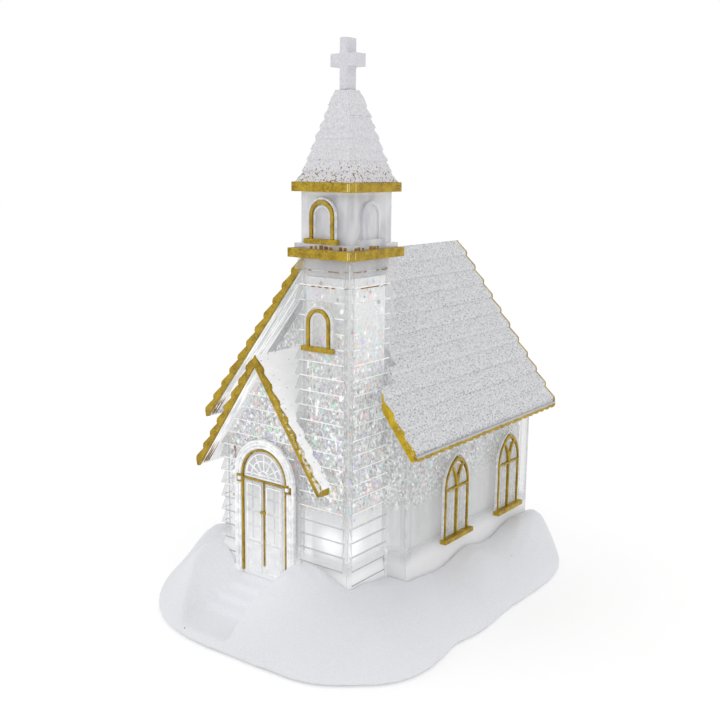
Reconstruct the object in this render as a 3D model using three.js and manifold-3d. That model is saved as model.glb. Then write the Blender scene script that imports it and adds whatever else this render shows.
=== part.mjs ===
// A light-up church figurine: a clear, liquid-filled chapel on a frosted snow drift.
// Millimetres, +Z up. The front of the chapel faces -Y and the nave's centre plane is X = 0.
// The origin lies on the table under the centre of the snow base.
import * as THREE from 'three';
import { mergeVertices } from 'three/addons/utils/BufferGeometryUtils.js';
import Module from 'manifold-3d';

const wasm = await Module();
wasm.setup();

// Clearances
const FIT = 0.3;
const RUN = 0.15;
// How far one part of a moulding runs into the next, and a cutter past what it cuts
const JOIN = 0.5;

// Snow base
const BASE_HALF_X = 95.5;
const BASE_HALF_Y = 120.5;
const RIM_Z = 1;
const RIM_LIP = 2.5;
const SNOW_WALL = 3;
const SNOW_Z = 23.7;
const BANK_WIDTH = 36.3;
const BANK_OUTER_POWER = 1.77;
const BANK_INNER_POWER = 0.72;
const SNOW_WAVE = -1.1;
const SNOW_WAVE_LENGTH = 52;
// Squareness of the outline in each quarter, as the power of a superellipse
const CORNER_BACK_RIGHT = 3.6;
const CORNER_BACK_LEFT = 3.4;
const CORNER_FRONT_LEFT = 2.53;
const CORNER_FRONT_RIGHT = 5.1;
// Dents in the outline: direction and spread in degrees, and depth as a share of the half width
const RIM_DENTS = [
  { angle: -74, spread: 12.4, depth: 0.018 },
  { angle: -54, spread: 6.2, depth: 0.07 },
  { angle: -24, spread: 6.4, depth: 0.05 },
  { angle: 12, spread: 15.6, depth: 0.045 },
  { angle: 80, spread: 6.5, depth: 0.034 },
  { angle: 112, spread: 8, depth: 0.036 },
  { angle: 158, spread: 9, depth: 0.04 },
  { angle: -164, spread: 6.2, depth: 0.023 },
];
// Mounds: centre as shares of the half width and half depth, extra height as a share of the
// snow's height, and spreads along X and Y as shares of the bank's width
const MOUNDS = [
  { x: -0.483, y: -0.697, rise: 0.586, spreadX: 0.248, spreadY: 0.452 },
  { x: 0.246, y: -0.744, rise: 0.81, spreadX: 0.284, spreadY: 0.479 },
  { x: 0.413, y: -0.456, rise: 0.24, spreadX: 0.309, spreadY: 0.383 },
  { x: 0.721, y: 0.18, rise: 0.156, spreadX: 0.399, spreadY: 0.281 },
  { x: 0.715, y: 0.739, rise: 0.502, spreadX: 0.251, spreadY: 0.554 },
  { x: -0.909, y: -0.371, rise: 0.679, spreadX: 0.402, spreadY: 0.278 },
  { x: 0.665, y: 0.896, rise: 0.928, spreadX: 0.27, spreadY: 0.248 },
  { x: -0.649, y: 0.581, rise: 0.169, spreadX: 0.386, spreadY: 0.551 },
];

// Directions and rings of the snow's surface and of the hollow under it
const DRIFT_SIDES = 112;
const DRIFT_RINGS = [1, 0.98, 0.945, 0.9, 0.845, 0.785, 0.72, 0.65, 0.57];

// Steps up to the door
const STEP_COUNT = 4;
const STEP_RISE = 2.7;
const STEP_RUN = 9;
const STEPS_LEFT = -29.5;
const STEPS_RIGHT = 5;
const THRESHOLD_DROP = 0.4;
const THRESHOLD_RUN = 1;
const LAST_TREAD_FALL = 1.5;
// Slope of the left bank's side down to the treads' ends, and how far it reaches
const STEPS_SIDE_SLOPE = 1.2;
const STEPS_SIDE_RUN = 20;

// Base plate, feet and screws
const FOOT_H = 2.5;
const FOOT_R = 6;
const PLATE_T = 2;
const FOOT_INSET_X = 33.5;
const FOOT_INSET_Y = 32.5;
const BOSS_INSET_X = 25.5;
const BOSS_INSET_Y = 58.5;
// The outline is rounder at the front left, so that foot and that boss stand further back
const FOOT_SETBACK = 26;
const BOSS_SETBACK = 12;
const BOSS_R = 4;
const SCREW_R = 1.3;
const SCREW_HEAD_R = 3;
const SCREW_HEAD_T = 1.2;
const SCREW_LENGTH = 9;

// Building walls
const WALL_FOOT_Z = 19;
const WALL = 3;
const LEDGE = 2.4;
const LEDGE_T = 3;
const LEDGE_TOP_Z = 28;
const GASKET_T = 1;
const FLOOR_T = 3;
const SEAT_T = 3;
const SEAT_REACH = 2;

// Clapboards
const BOARD_START_Z = 28.5;
const BOARD_PITCH = 7.65;
const BOARD_DEPTH = 1.9;
const CORNER_POST = 3.4;

// Nave
const NAVE_HALF_X = 56.4;
const NAVE_FRONT_Y = -36;
const NAVE_BACK_Y = 96;
const NAVE_RIDGE_Z = 192.8;
const NAVE_EAVE_Z = 100.3;
const NAVE_ROOF_HALF_X = 71.7;
const NAVE_ROOF_T = 4.6;
const NAVE_ROOF_FRONT_Y = -54.6;
const NAVE_ROOF_BACK_Y = 98;
const NAVE_COURSES = 11;
const NAVE_RAKE_BAND = 4.6;
// The roof's front is cut back beside the tower, with a bevelled corner
const ROOF_NOTCH_W = 5.6;
const ROOF_NOTCH_BEVEL = 4;
const ROOF_NOTCH_BACK = 1.5;

// Tower
const TOWER_X0 = 7.9;
const TOWER_X1 = 43.1;
const TOWER_Y0 = -69;
const TOWER_Y1 = -30;
const TOWER_TOP_Z = 195;
const TOWER_PASSAGE_Z = 96;

// Porch
const PORCH_X0 = -46.2;
const PORCH_RIDGE_X = -12.8;
const PORCH_RIDGE_Z = 142.8;
const PORCH_EAVE_Z = 79.6;
const PORCH_ROOF_HALF_X = 43.4;
const PORCH_ROOF_T = 4.8;
const PORCH_OVERHANG = 8;
const PORCH_COURSES = 8;
const PORCH_RAKE_BAND = 5;

// Shingles on both roofs
const SHINGLE_BUTT = 1.7;
const SHINGLE_NOSE = 0.9;
const SHINGLE_NOSE_RUN = 2;
const SHINGLE_HEAD = 0.1;
const SHINGLE_LAP = 0.2;
const RIDGE_CAP = 0.7;
const SOFFIT_HEEL = 1.4;
const TRIM_T = 1.5;
const EAVE_BAND = 3;
const EAVE_SCALLOPS = 22;
const EAVE_SCALLOP_DEPTH = 0.9;

// Belfry and spire
const LOWER_CORNICE_T = 4.5;
const LOWER_CORNICE_REACH = 2.4;
const CLEAR_STEP_T = 2.5;
const BELFRY_H = 25.1;
const BELFRY_INSET = 2.5;
const BELFRY_WALL = 2;
const UPPER_CORNICE_T = 4.6;
const UPPER_CORNICE_REACH = 1;
const SPIRE_H = 44;
const SPIRE_ROW = 5.2;
const SPIRE_ROWS = 7;
const SPIRE_BUTT = 0.7;
const SPIRE_BUTT_H = 1.2;
const SPIRE_WALL = 2;
const SPIRE_FOOT_WALL = 3.2;
const SPIRE_FOOT_HALF = 16.9;
const SPIRE_SHOULDER_HALF = 6.5;
const SPIRE_FLARE = 1.9;
const SPIRE_FLARE_H = 7;
// Depth of the spire along Y over its width along X
const SPIRE_ASPECT = 1.083;
const DOME_FOOT_HALF = 7.1;
const DOME_TOP_HALF = 4.3;
const DOME_STEPS = 4;
const DOME_POWER = 1.2;
const PLUG_H = 9;
const PLUG_WALL = 2;

// Cross
const CROSS_H = 24.3;
const CROSS_HALF_X = 2.3;
const CROSS_HALF_Y = 3.9;
const CROSS_BAR_HALF_X = 8;
const CROSS_BAR_BOTTOM = 10.6;
const CROSS_BAR_H = 6.3;

// Door
const DOOR_X = -12.8;
const DOOR_HALF = 16;
const DOOR_LINE = 1;
const DOOR_MIDDLE = 0.7;
const DOOR_FOOT_Z = 19.6;
const DOOR_SPRING_Z = 75.9;
const DOOR_TRANSOM_Z = 73.6;
const DOOR_LEAF_T = 0.8;
const DOOR_TRIM_T = 1.7;
const DOOR_MIDDLE_PROUD = 0.8;
const DOOR_TRIM_FOOT_Z = 21;
const DOOR_MIDDLE_FOOT_Z = 26.5;
const SURROUND_HALF = 21.2;
const SURROUND_T = 1.5;
const ROSETTE = 4.4;
const ROSETTE_OFFSET = 1;
const ROSETTE_DROP = 0.8;
const ROSETTE_HOLE_R = 1.4;
const HANDLE_Z = 56.9;
const HANDLE_HALF = 2;
const HANDLE_HALF_H = 0.6;
const HANDLE_PROUD = 0.5;
const PANEL_ROWS = 4;
const PANEL_MARGIN = 1.4;
const PANEL_RISE = 0.5;
const PANEL_TALL_Z = 40;

// Windows
const ARCH_STEPS = 12;
const FRONT_TRIM_T = 1.2;
const FRONT_TRIM_LINE = 1.6;
const PAD_PROUD = 0.5;
const PAD_MARGIN = 2;
const PAD_FOOT = 1;
const SILL_H = 2.5;
const SILL_PROUD = 2.2;
const TOWER_WINDOW_X = 24.3;
const TOWER_WINDOW_HALF = 7.2;
const TOWER_WINDOW_SILL_Z = 149;
const TOWER_WINDOW_SPRING_Z = 163.3;
const TOWER_SILL_HALF = 10;
const SIDE_WINDOW_Y = -51;
const BELFRY_WINDOW_HALF = 7.4;
const BELFRY_WINDOW_SPRING = 13.6;
const BELFRY_SILL_HALF = 10.3;
const NAVE_WINDOW_YS = [10.5, 69];
const NAVE_WINDOW_HALF = 12;
const NAVE_WINDOW_SILL_Z = 36;
const NAVE_WINDOW_SPRING_Z = 66.5;
const NAVE_WINDOW_APEX_Z = 83;
const NAVE_WINDOW_LINE = 1.2;
const NAVE_TRIM_T = 1.4;
const NAVE_SILL_PROUD = 3.6;
const NAVE_SILL_HALF = 14.6;
const NAVE_TRANSOM_DROP = 1.6;
const NAVE_MULLION_RISE = 6;
// A lancet drawn inwards by 1 comes down by this much at its apex
const APEX_SLOPE = 1.5;

// Battery bay
const CELL_R = 7.2;
const CELL_L = 50;
const CELL_NUB_R = 2.7;
const CELL_NUB_L = 1.4;
const CELL_PITCH = 15.2;
const CELL_COUNT = 3;
const CONTACT_T = 0.8;
const CONTACT_GAP = 1.2;
const TRAY_WALL = 1.8;
const TRAY_SETBACK = 48;
const HINGE_R = 0.9;
const HINGE_W = 6;
const HINGE_OFFSET = 1.6;

// Slide switch
const SWITCH_X = -44;
const SWITCH_Y = 40;
const SWITCH_L = 14;
const SWITCH_W = 7;
const SWITCH_H = 5;
const KNOB_STEM = 3;
const KNOB_PAD_L = 6;
const KNOB_PAD_T = 0.9;
const KNOB_TRAVEL = 3;

// Power inlet in the back of the base
const INLET_W = 9;
const INLET_H = 3.4;
const INLET_L = 12;
const INLET_SHELL = 0.6;
const INLET_BACK = 1.8;
const INLET_BOARD_TAIL = 2;
const INLET_BOARD_T = 1.6;
const POCKET_DEPTH = 12.5;
const POCKET_HALF_X = 9;
const POCKET_TOP_Z = 13;

// Lights
const BOARD_T = 1.6;
const LED_BOARD_Z = 21.5;
const LED_R = 2.5;
const LED_H = 5;
const LED_XS = [-14, 6, 26];
const LED_Y = -54;
const LED_BOARD_HALF_Y = 5;
const LED_POST_R = 2.4;

// Motor and stirrer
const MOTOR_X = 0;
const MOTOR_Y = 0;
const MOTOR_R = 12;
const MOTOR_H = 12;
const BRIDGE_TOP_Z = 19.5;
const BRIDGE_T = 2;
const BRIDGE_HALF = 16;
const BRIDGE_W = 12;
const SHAFT_R = 1;
const CARRIER_R = 14;
const CARRIER_T = 4;
const CARRIER_GAP = 1.2;
const MAGNET_HALF_X = 11;
const MAGNET_HALF_Y = 3;
const MAGNET_T = 3;
const PIN_R = 1.5;
const PIN_FLANGE_R = 4;
const PIN_FLANGE_T = 1;
const IMPELLER_R = 17;
const IMPELLER_T = 3;
const VANE_H = 6;
const VANE_T = 1.6;
const VANE_COUNT = 4;
const VANE_END = 1;
const GUARD_R = 21;
const GUARD_T = 1.6;
const GUARD_LEG = 3;
const GUARD_CLEAR = 1.2;
const GUARD_LEGS = 4;
const FILLER_X = 30;
const FILLER_Y = 30;
const FILLER_R = 5;
const FILLER_HEAD_R = 7;
const FILLER_HEAD_T = 1.6;
const FILLER_PROUD = 1;

// Levels that follow from the sizes above
const PLATE_Z0 = FOOT_H;
const PLATE_Z1 = PLATE_Z0 + PLATE_T;
const FLOOR_Z0 = LEDGE_TOP_Z + GASKET_T;
const FLOOR_Z1 = FLOOR_Z0 + FLOOR_T;
const CORNICE_Z = TOWER_TOP_Z;
const CLEAR_STEP_Z = CORNICE_Z + LOWER_CORNICE_T;
const BELFRY_Z = CLEAR_STEP_Z + CLEAR_STEP_T;
const UPPER_CORNICE_Z = BELFRY_Z + BELFRY_H;
const SPIRE_Z = UPPER_CORNICE_Z + UPPER_CORNICE_T;
const CROSS_Z = SPIRE_Z + SPIRE_H;
const THRESHOLD_Z = WALL_FOOT_Z - THRESHOLD_DROP;
const STEPS_FRONT_Y = TOWER_Y0 - THRESHOLD_RUN - STEP_COUNT * STEP_RUN;
const STEPS_FOOT_Z = THRESHOLD_Z - STEP_COUNT * STEP_RISE;
const FOOT_X = BASE_HALF_X - FOOT_INSET_X;
const FOOT_Y = BASE_HALF_Y - FOOT_INSET_Y;
const BOSS_X = BASE_HALF_X - BOSS_INSET_X;
const BOSS_Y = BASE_HALF_Y - BOSS_INSET_Y;
const POCKET_FLOOR_Y = BASE_HALF_Y - POCKET_DEPTH;
const TRAY_Y = POCKET_FLOOR_Y - TRAY_SETBACK;
const NAVE_SLOPE = (NAVE_RIDGE_Z - NAVE_EAVE_Z) / NAVE_ROOF_HALF_X;
const PORCH_SLOPE = (PORCH_RIDGE_Z - PORCH_EAVE_Z) / PORCH_ROOF_HALF_X;
const TOWER = { x0: TOWER_X0, x1: TOWER_X1, y0: TOWER_Y0, y1: TOWER_Y1 };
const NAVE = { x0: -NAVE_HALF_X, x1: NAVE_HALF_X, y0: NAVE_FRONT_Y, y1: NAVE_BACK_Y };
const PORCH = { x0: PORCH_X0, x1: TOWER_X0, y0: TOWER_Y0, y1: NAVE_FRONT_Y };
const TOWER_CX = (TOWER_X0 + TOWER_X1) / 2;
const TOWER_CY = (TOWER_Y0 + TOWER_Y1) / 2;
// Longer than the object, for cutters that run right through it
const FAR = 400;

// Solids

function solid(geometry) {
  const bare = geometry.index ? geometry.toNonIndexed() : geometry.clone();
  bare.deleteAttribute('normal');
  bare.deleteAttribute('uv');
  const merged = mergeVertices(bare, 1e-4);
  const index = merged.index.array;
  const kept = [];
  for (let i = 0; i < index.length; i += 3) {
    const [a, b, c] = [index[i], index[i + 1], index[i + 2]];
    if (a !== b && b !== c && c !== a) kept.push(a, b, c);
  }
  return new wasm.Manifold(new wasm.Mesh({
    numProp: 3,
    vertProperties: new Float32Array(merged.attributes.position.array),
    triVerts: new Uint32Array(kept),
  }));
}

function geometryOf(body) {
  const mesh = body.getMesh();
  const geometry = new THREE.BufferGeometry();
  geometry.setAttribute('position', new THREE.BufferAttribute(new Float32Array(mesh.vertProperties), 3));
  geometry.setIndex(new THREE.BufferAttribute(new Uint32Array(mesh.triVerts), 1));
  geometry.computeVertexNormals();
  return geometry;
}

function union(bodies) {
  return bodies.reduce((whole, body) => whole.add(body));
}

function box(x0, x1, y0, y1, z0, z1) {
  const geometry = new THREE.BoxGeometry(x1 - x0, y1 - y0, z1 - z0);
  return solid(geometry.translate((x0 + x1) / 2, (y0 + y1) / 2, (z0 + z1) / 2));
}

function column(rect, grow, z0, z1) {
  return box(rect.x0 - grow, rect.x1 + grow, rect.y0 - grow, rect.y1 + grow, z0, z1);
}

function cylinder(x, y, z0, z1, radius, sides = 16) {
  const geometry = new THREE.CylinderGeometry(radius, radius, z1 - z0, sides);
  return solid(geometry.rotateX(Math.PI / 2).translate(x, y, (z0 + z1) / 2));
}

function outline(points) {
  return new THREE.Shape(points.map(([u, v]) => new THREE.Vector2(u, v)));
}

function extruded(points, depth) {
  return new THREE.ExtrudeGeometry(outline(points), { depth, bevelEnabled: false });
}

// Outline in X and Z, drawn out from y0 to y1
function prismY(points, y0, y1) {
  return solid(extruded(points, y1 - y0).rotateX(Math.PI / 2).translate(0, y1, 0));
}

// Outline in Y and Z, drawn out from x0 to x1
function prismX(points, x0, x1) {
  const basis = new THREE.Matrix4().makeBasis(
    new THREE.Vector3(0, 1, 0),
    new THREE.Vector3(0, 0, 1),
    new THREE.Vector3(1, 0, 0),
  );
  return solid(extruded(points, x1 - x0).applyMatrix4(basis).translate(x0, 0, 0));
}

// A tapering rectangular column through a list of rectangles from bottom to top
function stack(levels) {
  const positions = [];
  const corners = (level) => [
    [level.x0, level.y0, level.z],
    [level.x1, level.y0, level.z],
    [level.x1, level.y1, level.z],
    [level.x0, level.y1, level.z],
  ];
  const triangle = (a, b, c) => positions.push(...a, ...b, ...c);
  levels.slice(1).forEach((level, i) => {
    const low = corners(levels[i]);
    const high = corners(level);
    for (let k = 0; k < 4; k += 1) {
      const n = (k + 1) % 4;
      triangle(low[k], low[n], high[n]);
      triangle(low[k], high[n], high[k]);
    }
  });
  const bottom = corners(levels[0]);
  const top = corners(levels[levels.length - 1]);
  triangle(bottom[0], bottom[2], bottom[1]);
  triangle(bottom[0], bottom[3], bottom[2]);
  triangle(top[0], top[1], top[2]);
  triangle(top[0], top[2], top[3]);
  const geometry = new THREE.BufferGeometry();
  geometry.setAttribute('position', new THREE.BufferAttribute(new Float32Array(positions), 3));
  return solid(geometry);
}

function inset(rect, amount) {
  return { x0: rect.x0 + amount, x1: rect.x1 - amount, y0: rect.y0 + amount, y1: rect.y1 - amount };
}

// Clapboards: each board's butt stands on the rectangle and its top lies BOARD_DEPTH behind it
function boardedColumn(rect, z0, z1) {
  const levels = [{ ...rect, z: z0 }];
  for (let z = BOARD_START_Z; z < z1; z += BOARD_PITCH) {
    const top = Math.min(z + BOARD_PITCH, z1);
    const recess = BOARD_DEPTH * (top - z) / BOARD_PITCH;
    levels.push({ ...rect, z });
    levels.push({ ...inset(rect, recess), z: top });
  }
  return stack(levels);
}

// The building's plan, grown or shrunk
function footprint(grow, z0, z1) {
  const joined = Math.abs(grow) + WALL;
  return union([
    column(NAVE, grow, z0, z1),
    box(TOWER.x0 - grow, TOWER.x1 + grow, TOWER.y0 - grow, NAVE.y0 + joined, z0, z1),
    box(PORCH.x0 - grow, TOWER.x0 + joined, PORCH.y0 - grow, NAVE.y0 + joined, z0, z1),
  ]);
}

// Snow base

function cornerPower(x, y) {
  if (y >= 0) return x >= 0 ? CORNER_BACK_RIGHT : CORNER_BACK_LEFT;
  return x >= 0 ? CORNER_FRONT_RIGHT : CORNER_FRONT_LEFT;
}

function rimRadius(angle, shrink) {
  const halfX = BASE_HALF_X - shrink;
  const halfY = BASE_HALF_Y - shrink;
  const [c, s] = [Math.cos(angle), Math.sin(angle)];
  const power = cornerPower(c, s);
  const plain = (Math.abs(c / halfX) ** power + Math.abs(s / halfY) ** power) ** (-1 / power);
  return RIM_DENTS.reduce((radius, dent) => {
    const turn = angle - THREE.MathUtils.degToRad(dent.angle);
    const away = Math.atan2(Math.sin(turn), Math.cos(turn)) / THREE.MathUtils.degToRad(dent.spread);
    return radius - BASE_HALF_X * dent.depth * Math.exp(-away * away / 2);
  }, plain);
}

function snowHeight(x, y) {
  const angle = Math.atan2(y, x);
  const inward = rimRadius(angle, 0) - Math.hypot(x, y);
  const t = THREE.MathUtils.clamp(inward / BANK_WIDTH, 0, 1);
  const bank = (1 - (1 - t) ** BANK_OUTER_POWER) ** BANK_INNER_POWER;
  const wave = SNOW_WAVE * Math.sin((y + x / 3) * 2 * Math.PI / SNOW_WAVE_LENGTH);
  let rise = wave * t;
  for (const mound of MOUNDS) {
    const u = (x - mound.x * BASE_HALF_X) / (mound.spreadX * BANK_WIDTH);
    const v = (y - mound.y * BASE_HALF_Y) / (mound.spreadY * BANK_WIDTH);
    rise += mound.rise * SNOW_Z * Math.exp(-(u * u + v * v) / 2) * bank;
  }
  return RIM_Z + RIM_LIP + (SNOW_Z - RIM_Z - RIM_LIP) * bank + rise;
}

// A turned disc whose rim follows the outline and whose top follows the height
function drift(rings, shrink, floorZ, topZ) {
  const profile = [new THREE.Vector2(0, 0), new THREE.Vector2(1, 0)];
  rings.forEach((s) => profile.push(new THREE.Vector2(s, 1)));
  profile.push(new THREE.Vector2(0, 1));
  const geometry = new THREE.LatheGeometry(profile, DRIFT_SIDES).rotateX(Math.PI / 2);
  const place = geometry.attributes.position;
  for (let i = 0; i < place.count; i += 1) {
    const angle = Math.atan2(place.getY(i), place.getX(i));
    const reach = Math.hypot(place.getX(i), place.getY(i)) * rimRadius(angle, shrink);
    const x = reach * Math.cos(angle);
    const y = reach * Math.sin(angle);
    place.setXYZ(i, x, y, place.getZ(i) < 0.5 ? floorZ : topZ(x, y));
  }
  return solid(geometry);
}

// The outline above a line that runs from the door out to the rim, in Y and Z
function aboveLine(line) {
  return [
    [TOWER_Y0 + FIT, THRESHOLD_Z],
    ...line,
    [STEPS_FRONT_Y, STEPS_FOOT_Z],
    [-BASE_HALF_Y - JOIN, STEPS_FOOT_Z - LAST_TREAD_FALL],
    [-BASE_HALF_Y - JOIN, FAR],
    [TOWER_Y0 + FIT, FAR],
  ].reverse();
}

function overSteps(grow) {
  const line = [];
  for (let i = 0; i < STEP_COUNT; i += 1) {
    const y = TOWER_Y0 - THRESHOLD_RUN - i * STEP_RUN;
    line.push([y, THRESHOLD_Z - i * STEP_RISE], [y, THRESHOLD_Z - (i + 1) * STEP_RISE]);
  }
  return prismX(aboveLine(line), STEPS_LEFT - grow, STEPS_RIGHT + grow).translate(0, 0, -grow);
}

// The left bank's side slopes down to the noses of the treads
function overLeftBank(grow) {
  const line = [[TOWER_Y0 - THRESHOLD_RUN, THRESHOLD_Z]];
  const upright = prismX(aboveLine(line), STEPS_LEFT - STEPS_SIDE_RUN, STEPS_LEFT);
  const sheared = upright.transform([
    1, 0, -STEPS_SIDE_SLOPE, 0,
    0, 1, 0, 0,
    0, 0, 1, 0,
    0, 0, STEPS_SIDE_SLOPE * STEPS_LEFT, 1,
  ]);
  return sheared.translate(0, 0, -grow * Math.hypot(1, STEPS_SIDE_SLOPE));
}

function bossPlaces() {
  return [[-BOSS_X, -BOSS_Y + BOSS_SETBACK], [BOSS_X, -BOSS_Y], [BOSS_X, BOSS_Y], [-BOSS_X, BOSS_Y]];
}

function snowBase() {
  const pocket = box(-POCKET_HALF_X, POCKET_HALF_X, POCKET_FLOOR_Y, FAR, PLATE_Z1, POCKET_TOP_Z);
  const outer = drift(DRIFT_RINGS, 0, RIM_Z, snowHeight)
    .subtract(overSteps(0))
    .subtract(overLeftBank(0))
    .subtract(pocket);
  const roof = (x, y) => Math.max(snowHeight(x, y) - SNOW_WALL, PLATE_Z1 + FIT);
  const keepSteps = overSteps(SNOW_WALL)
    .add(overLeftBank(SNOW_WALL))
    .intersect(box(-FAR, FAR, -FAR, FAR, PLATE_Z1, FAR));
  const keepPocket = box(
    -POCKET_HALF_X - SNOW_WALL, POCKET_HALF_X + SNOW_WALL,
    POCKET_FLOOR_Y - SNOW_WALL, FAR, PLATE_Z1, FAR,
  );
  const cavity = drift(DRIFT_RINGS, SNOW_WALL, -1, roof).subtract(keepSteps).subtract(keepPocket);
  const seat = footprint(FIT + SNOW_WALL, WALL_FOOT_Z - SEAT_T, FAR).intersect(outer);
  const inletHole = box(
    -INLET_W / 2 - FIT, INLET_W / 2 + FIT, POCKET_FLOOR_Y - SNOW_WALL - JOIN, POCKET_FLOOR_Y + JOIN,
    PLATE_Z1 + INLET_BOARD_T - FIT, PLATE_Z1 + INLET_BOARD_T + INLET_H + FIT,
  );
  const bosses = union(bossPlaces().map(([x, y]) => cylinder(x, y, PLATE_Z1, SNOW_Z, BOSS_R)));
  const bores = union(bossPlaces().map(([x, y]) => (
    cylinder(x, y, PLATE_Z1 - JOIN, PLATE_Z1 + SCREW_LENGTH, SCREW_R + FIT)
  )));
  return outer
    .subtract(cavity)
    .add(seat)
    .subtract(footprint(FIT, WALL_FOOT_Z, FAR))
    .subtract(footprint(-WALL - SEAT_REACH, -1, FAR))
    .subtract(archPrism(
      DOOR_X, SURROUND_HALF + FIT, WALL_FOOT_Z, DOOR_SPRING_Z, PORCH.y0 - SURROUND_T - FIT, PORCH.y0,
    ))
    .add(bosses.intersect(outer))
    .subtract(bores)
    .subtract(inletHole);
}

// Base plate and what stands on it

const TRAY_HALF_X = CELL_COUNT * CELL_PITCH / 2;
const TRAY_HALF_Y = CELL_L / 2 + CELL_NUB_L + CONTACT_GAP + CONTACT_T;
const CELL_Z = PLATE_Z1 + FIT + CELL_R;
const BATTERY_DOOR = {
  x0: -TRAY_HALF_X, x1: TRAY_HALF_X, y0: TRAY_Y - TRAY_HALF_Y, y1: TRAY_Y + TRAY_HALF_Y,
};
const HINGE_Y = BATTERY_DOOR.y0 - HINGE_OFFSET;
const HINGE_Z = PLATE_Z0 + PLATE_T / 2;
const HINGE_XS = [-TRAY_HALF_X / 2, TRAY_HALF_X / 2];

function footPlaces() {
  return [[-FOOT_X, -FOOT_Y + FOOT_SETBACK], [FOOT_X, -FOOT_Y], [FOOT_X, FOOT_Y], [-FOOT_X, FOOT_Y]];
}

function basePlate() {
  const level = () => PLATE_Z1;
  let plate = drift([1], SNOW_WALL + FIT, PLATE_Z0, level);
  plate = plate.subtract(column(BATTERY_DOOR, FIT, 0, FAR));
  // The hatch's near edge dips below the plate as it swings
  plate = plate.subtract(box(
    BATTERY_DOOR.x0 - FIT, BATTERY_DOOR.x1 + FIT, HINGE_Y + HINGE_R, BATTERY_DOOR.y0, 0, FAR,
  ));
  for (const x of HINGE_XS) {
    const half = HINGE_W / 2 + FIT;
    plate = plate.subtract(box(x - half, x + half, HINGE_Y - HINGE_R - FIT, BATTERY_DOOR.y0, 0, FAR));
  }
  plate = plate.subtract(box(
    SWITCH_X - KNOB_STEM / 2 - KNOB_TRAVEL - FIT, SWITCH_X + KNOB_STEM / 2 + KNOB_TRAVEL + FIT,
    SWITCH_Y - KNOB_STEM / 2 - FIT, SWITCH_Y + KNOB_STEM / 2 + FIT, 0, FAR,
  ));
  for (const [x, y] of bossPlaces()) {
    plate = plate.subtract(cylinder(x, y, 0, FAR, SCREW_R + FIT));
  }
  const posts = [LED_XS[0], LED_XS[LED_XS.length - 1]].map((x) => (
    cylinder(x, LED_Y, PLATE_Z1 - JOIN, LED_BOARD_Z, LED_POST_R)
  ));
  return union([plate, ...posts]);
}

function foot(x, y) {
  return cylinder(x, y, 0, FOOT_H, FOOT_R);
}

function screw(x, y) {
  const head = cylinder(x, y, PLATE_Z0 - SCREW_HEAD_T, PLATE_Z0, SCREW_HEAD_R);
  return head.add(cylinder(x, y, PLATE_Z0 - SCREW_HEAD_T / 2, PLATE_Z0 + SCREW_LENGTH, SCREW_R));
}

function batteryTray() {
  const top = CELL_Z + CELL_R + FIT;
  const outer = column(BATTERY_DOOR, TRAY_WALL, PLATE_Z1, top + TRAY_WALL);
  return outer.subtract(column(BATTERY_DOOR, 0, PLATE_Z1 - JOIN, top));
}

function batteryDoor() {
  const pieces = [column(BATTERY_DOOR, 0, PLATE_Z0, PLATE_Z1)];
  for (const x of HINGE_XS) {
    const half = HINGE_W / 2;
    const barrel = new THREE.CylinderGeometry(HINGE_R, HINGE_R, HINGE_W, 16).rotateZ(Math.PI / 2);
    pieces.push(solid(barrel.translate(x, HINGE_Y, HINGE_Z)));
    pieces.push(box(
      x - half, x + half, HINGE_Y, BATTERY_DOOR.y0 + JOIN, HINGE_Z - HINGE_R / 2, HINGE_Z + HINGE_R / 2,
    ));
  }
  return union(pieces);
}

function cell(i) {
  const turned = i % 2 === 0 ? 1 : -1;
  const half = CELL_L / 2;
  const profile = [
    [0, -half], [CELL_R, -half], [CELL_R, half], [CELL_NUB_R, half],
    [CELL_NUB_R, half + CELL_NUB_L], [0, half + CELL_NUB_L],
  ].map(([r, h]) => new THREE.Vector2(r, h));
  const geometry = new THREE.LatheGeometry(profile, 20);
  if (turned < 0) geometry.rotateZ(Math.PI);
  const x = (i - (CELL_COUNT - 1) / 2) * CELL_PITCH;
  return solid(geometry.translate(x, TRAY_Y, CELL_Z));
}

function contact(side) {
  const face = side > 0 ? BATTERY_DOOR.y1 : BATTERY_DOOR.y0;
  const [y0, y1] = side > 0 ? [face - CONTACT_T, face] : [face, face + CONTACT_T];
  const low = PLATE_Z1 + FIT;
  return box(-TRAY_HALF_X + FIT, TRAY_HALF_X - FIT, y0, y1, low, low + 2 * CELL_R);
}

function switchHousing() {
  const halfL = SWITCH_L / 2;
  const halfW = SWITCH_W / 2;
  const body = box(
    SWITCH_X - halfL, SWITCH_X + halfL, SWITCH_Y - halfW, SWITCH_Y + halfW,
    PLATE_Z1, PLATE_Z1 + SWITCH_H,
  );
  const slotX = KNOB_STEM / 2 + KNOB_TRAVEL + FIT;
  const slotY = KNOB_STEM / 2 + FIT;
  return body.subtract(box(
    SWITCH_X - slotX, SWITCH_X + slotX, SWITCH_Y - slotY, SWITCH_Y + slotY,
    PLATE_Z1 - JOIN, PLATE_Z1 + SWITCH_H / 2,
  ));
}

function switchKnob() {
  const stem = KNOB_STEM / 2;
  const pad = KNOB_PAD_L / 2;
  const top = PLATE_Z0 - FIT;
  return box(SWITCH_X - pad, SWITCH_X + pad, SWITCH_Y - pad, SWITCH_Y + pad, top - KNOB_PAD_T, top)
    .add(box(
      SWITCH_X - stem, SWITCH_X + stem, SWITCH_Y - stem, SWITCH_Y + stem,
      top - KNOB_PAD_T / 2, PLATE_Z1 + SWITCH_H / 2 - FIT,
    ));
}

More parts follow.
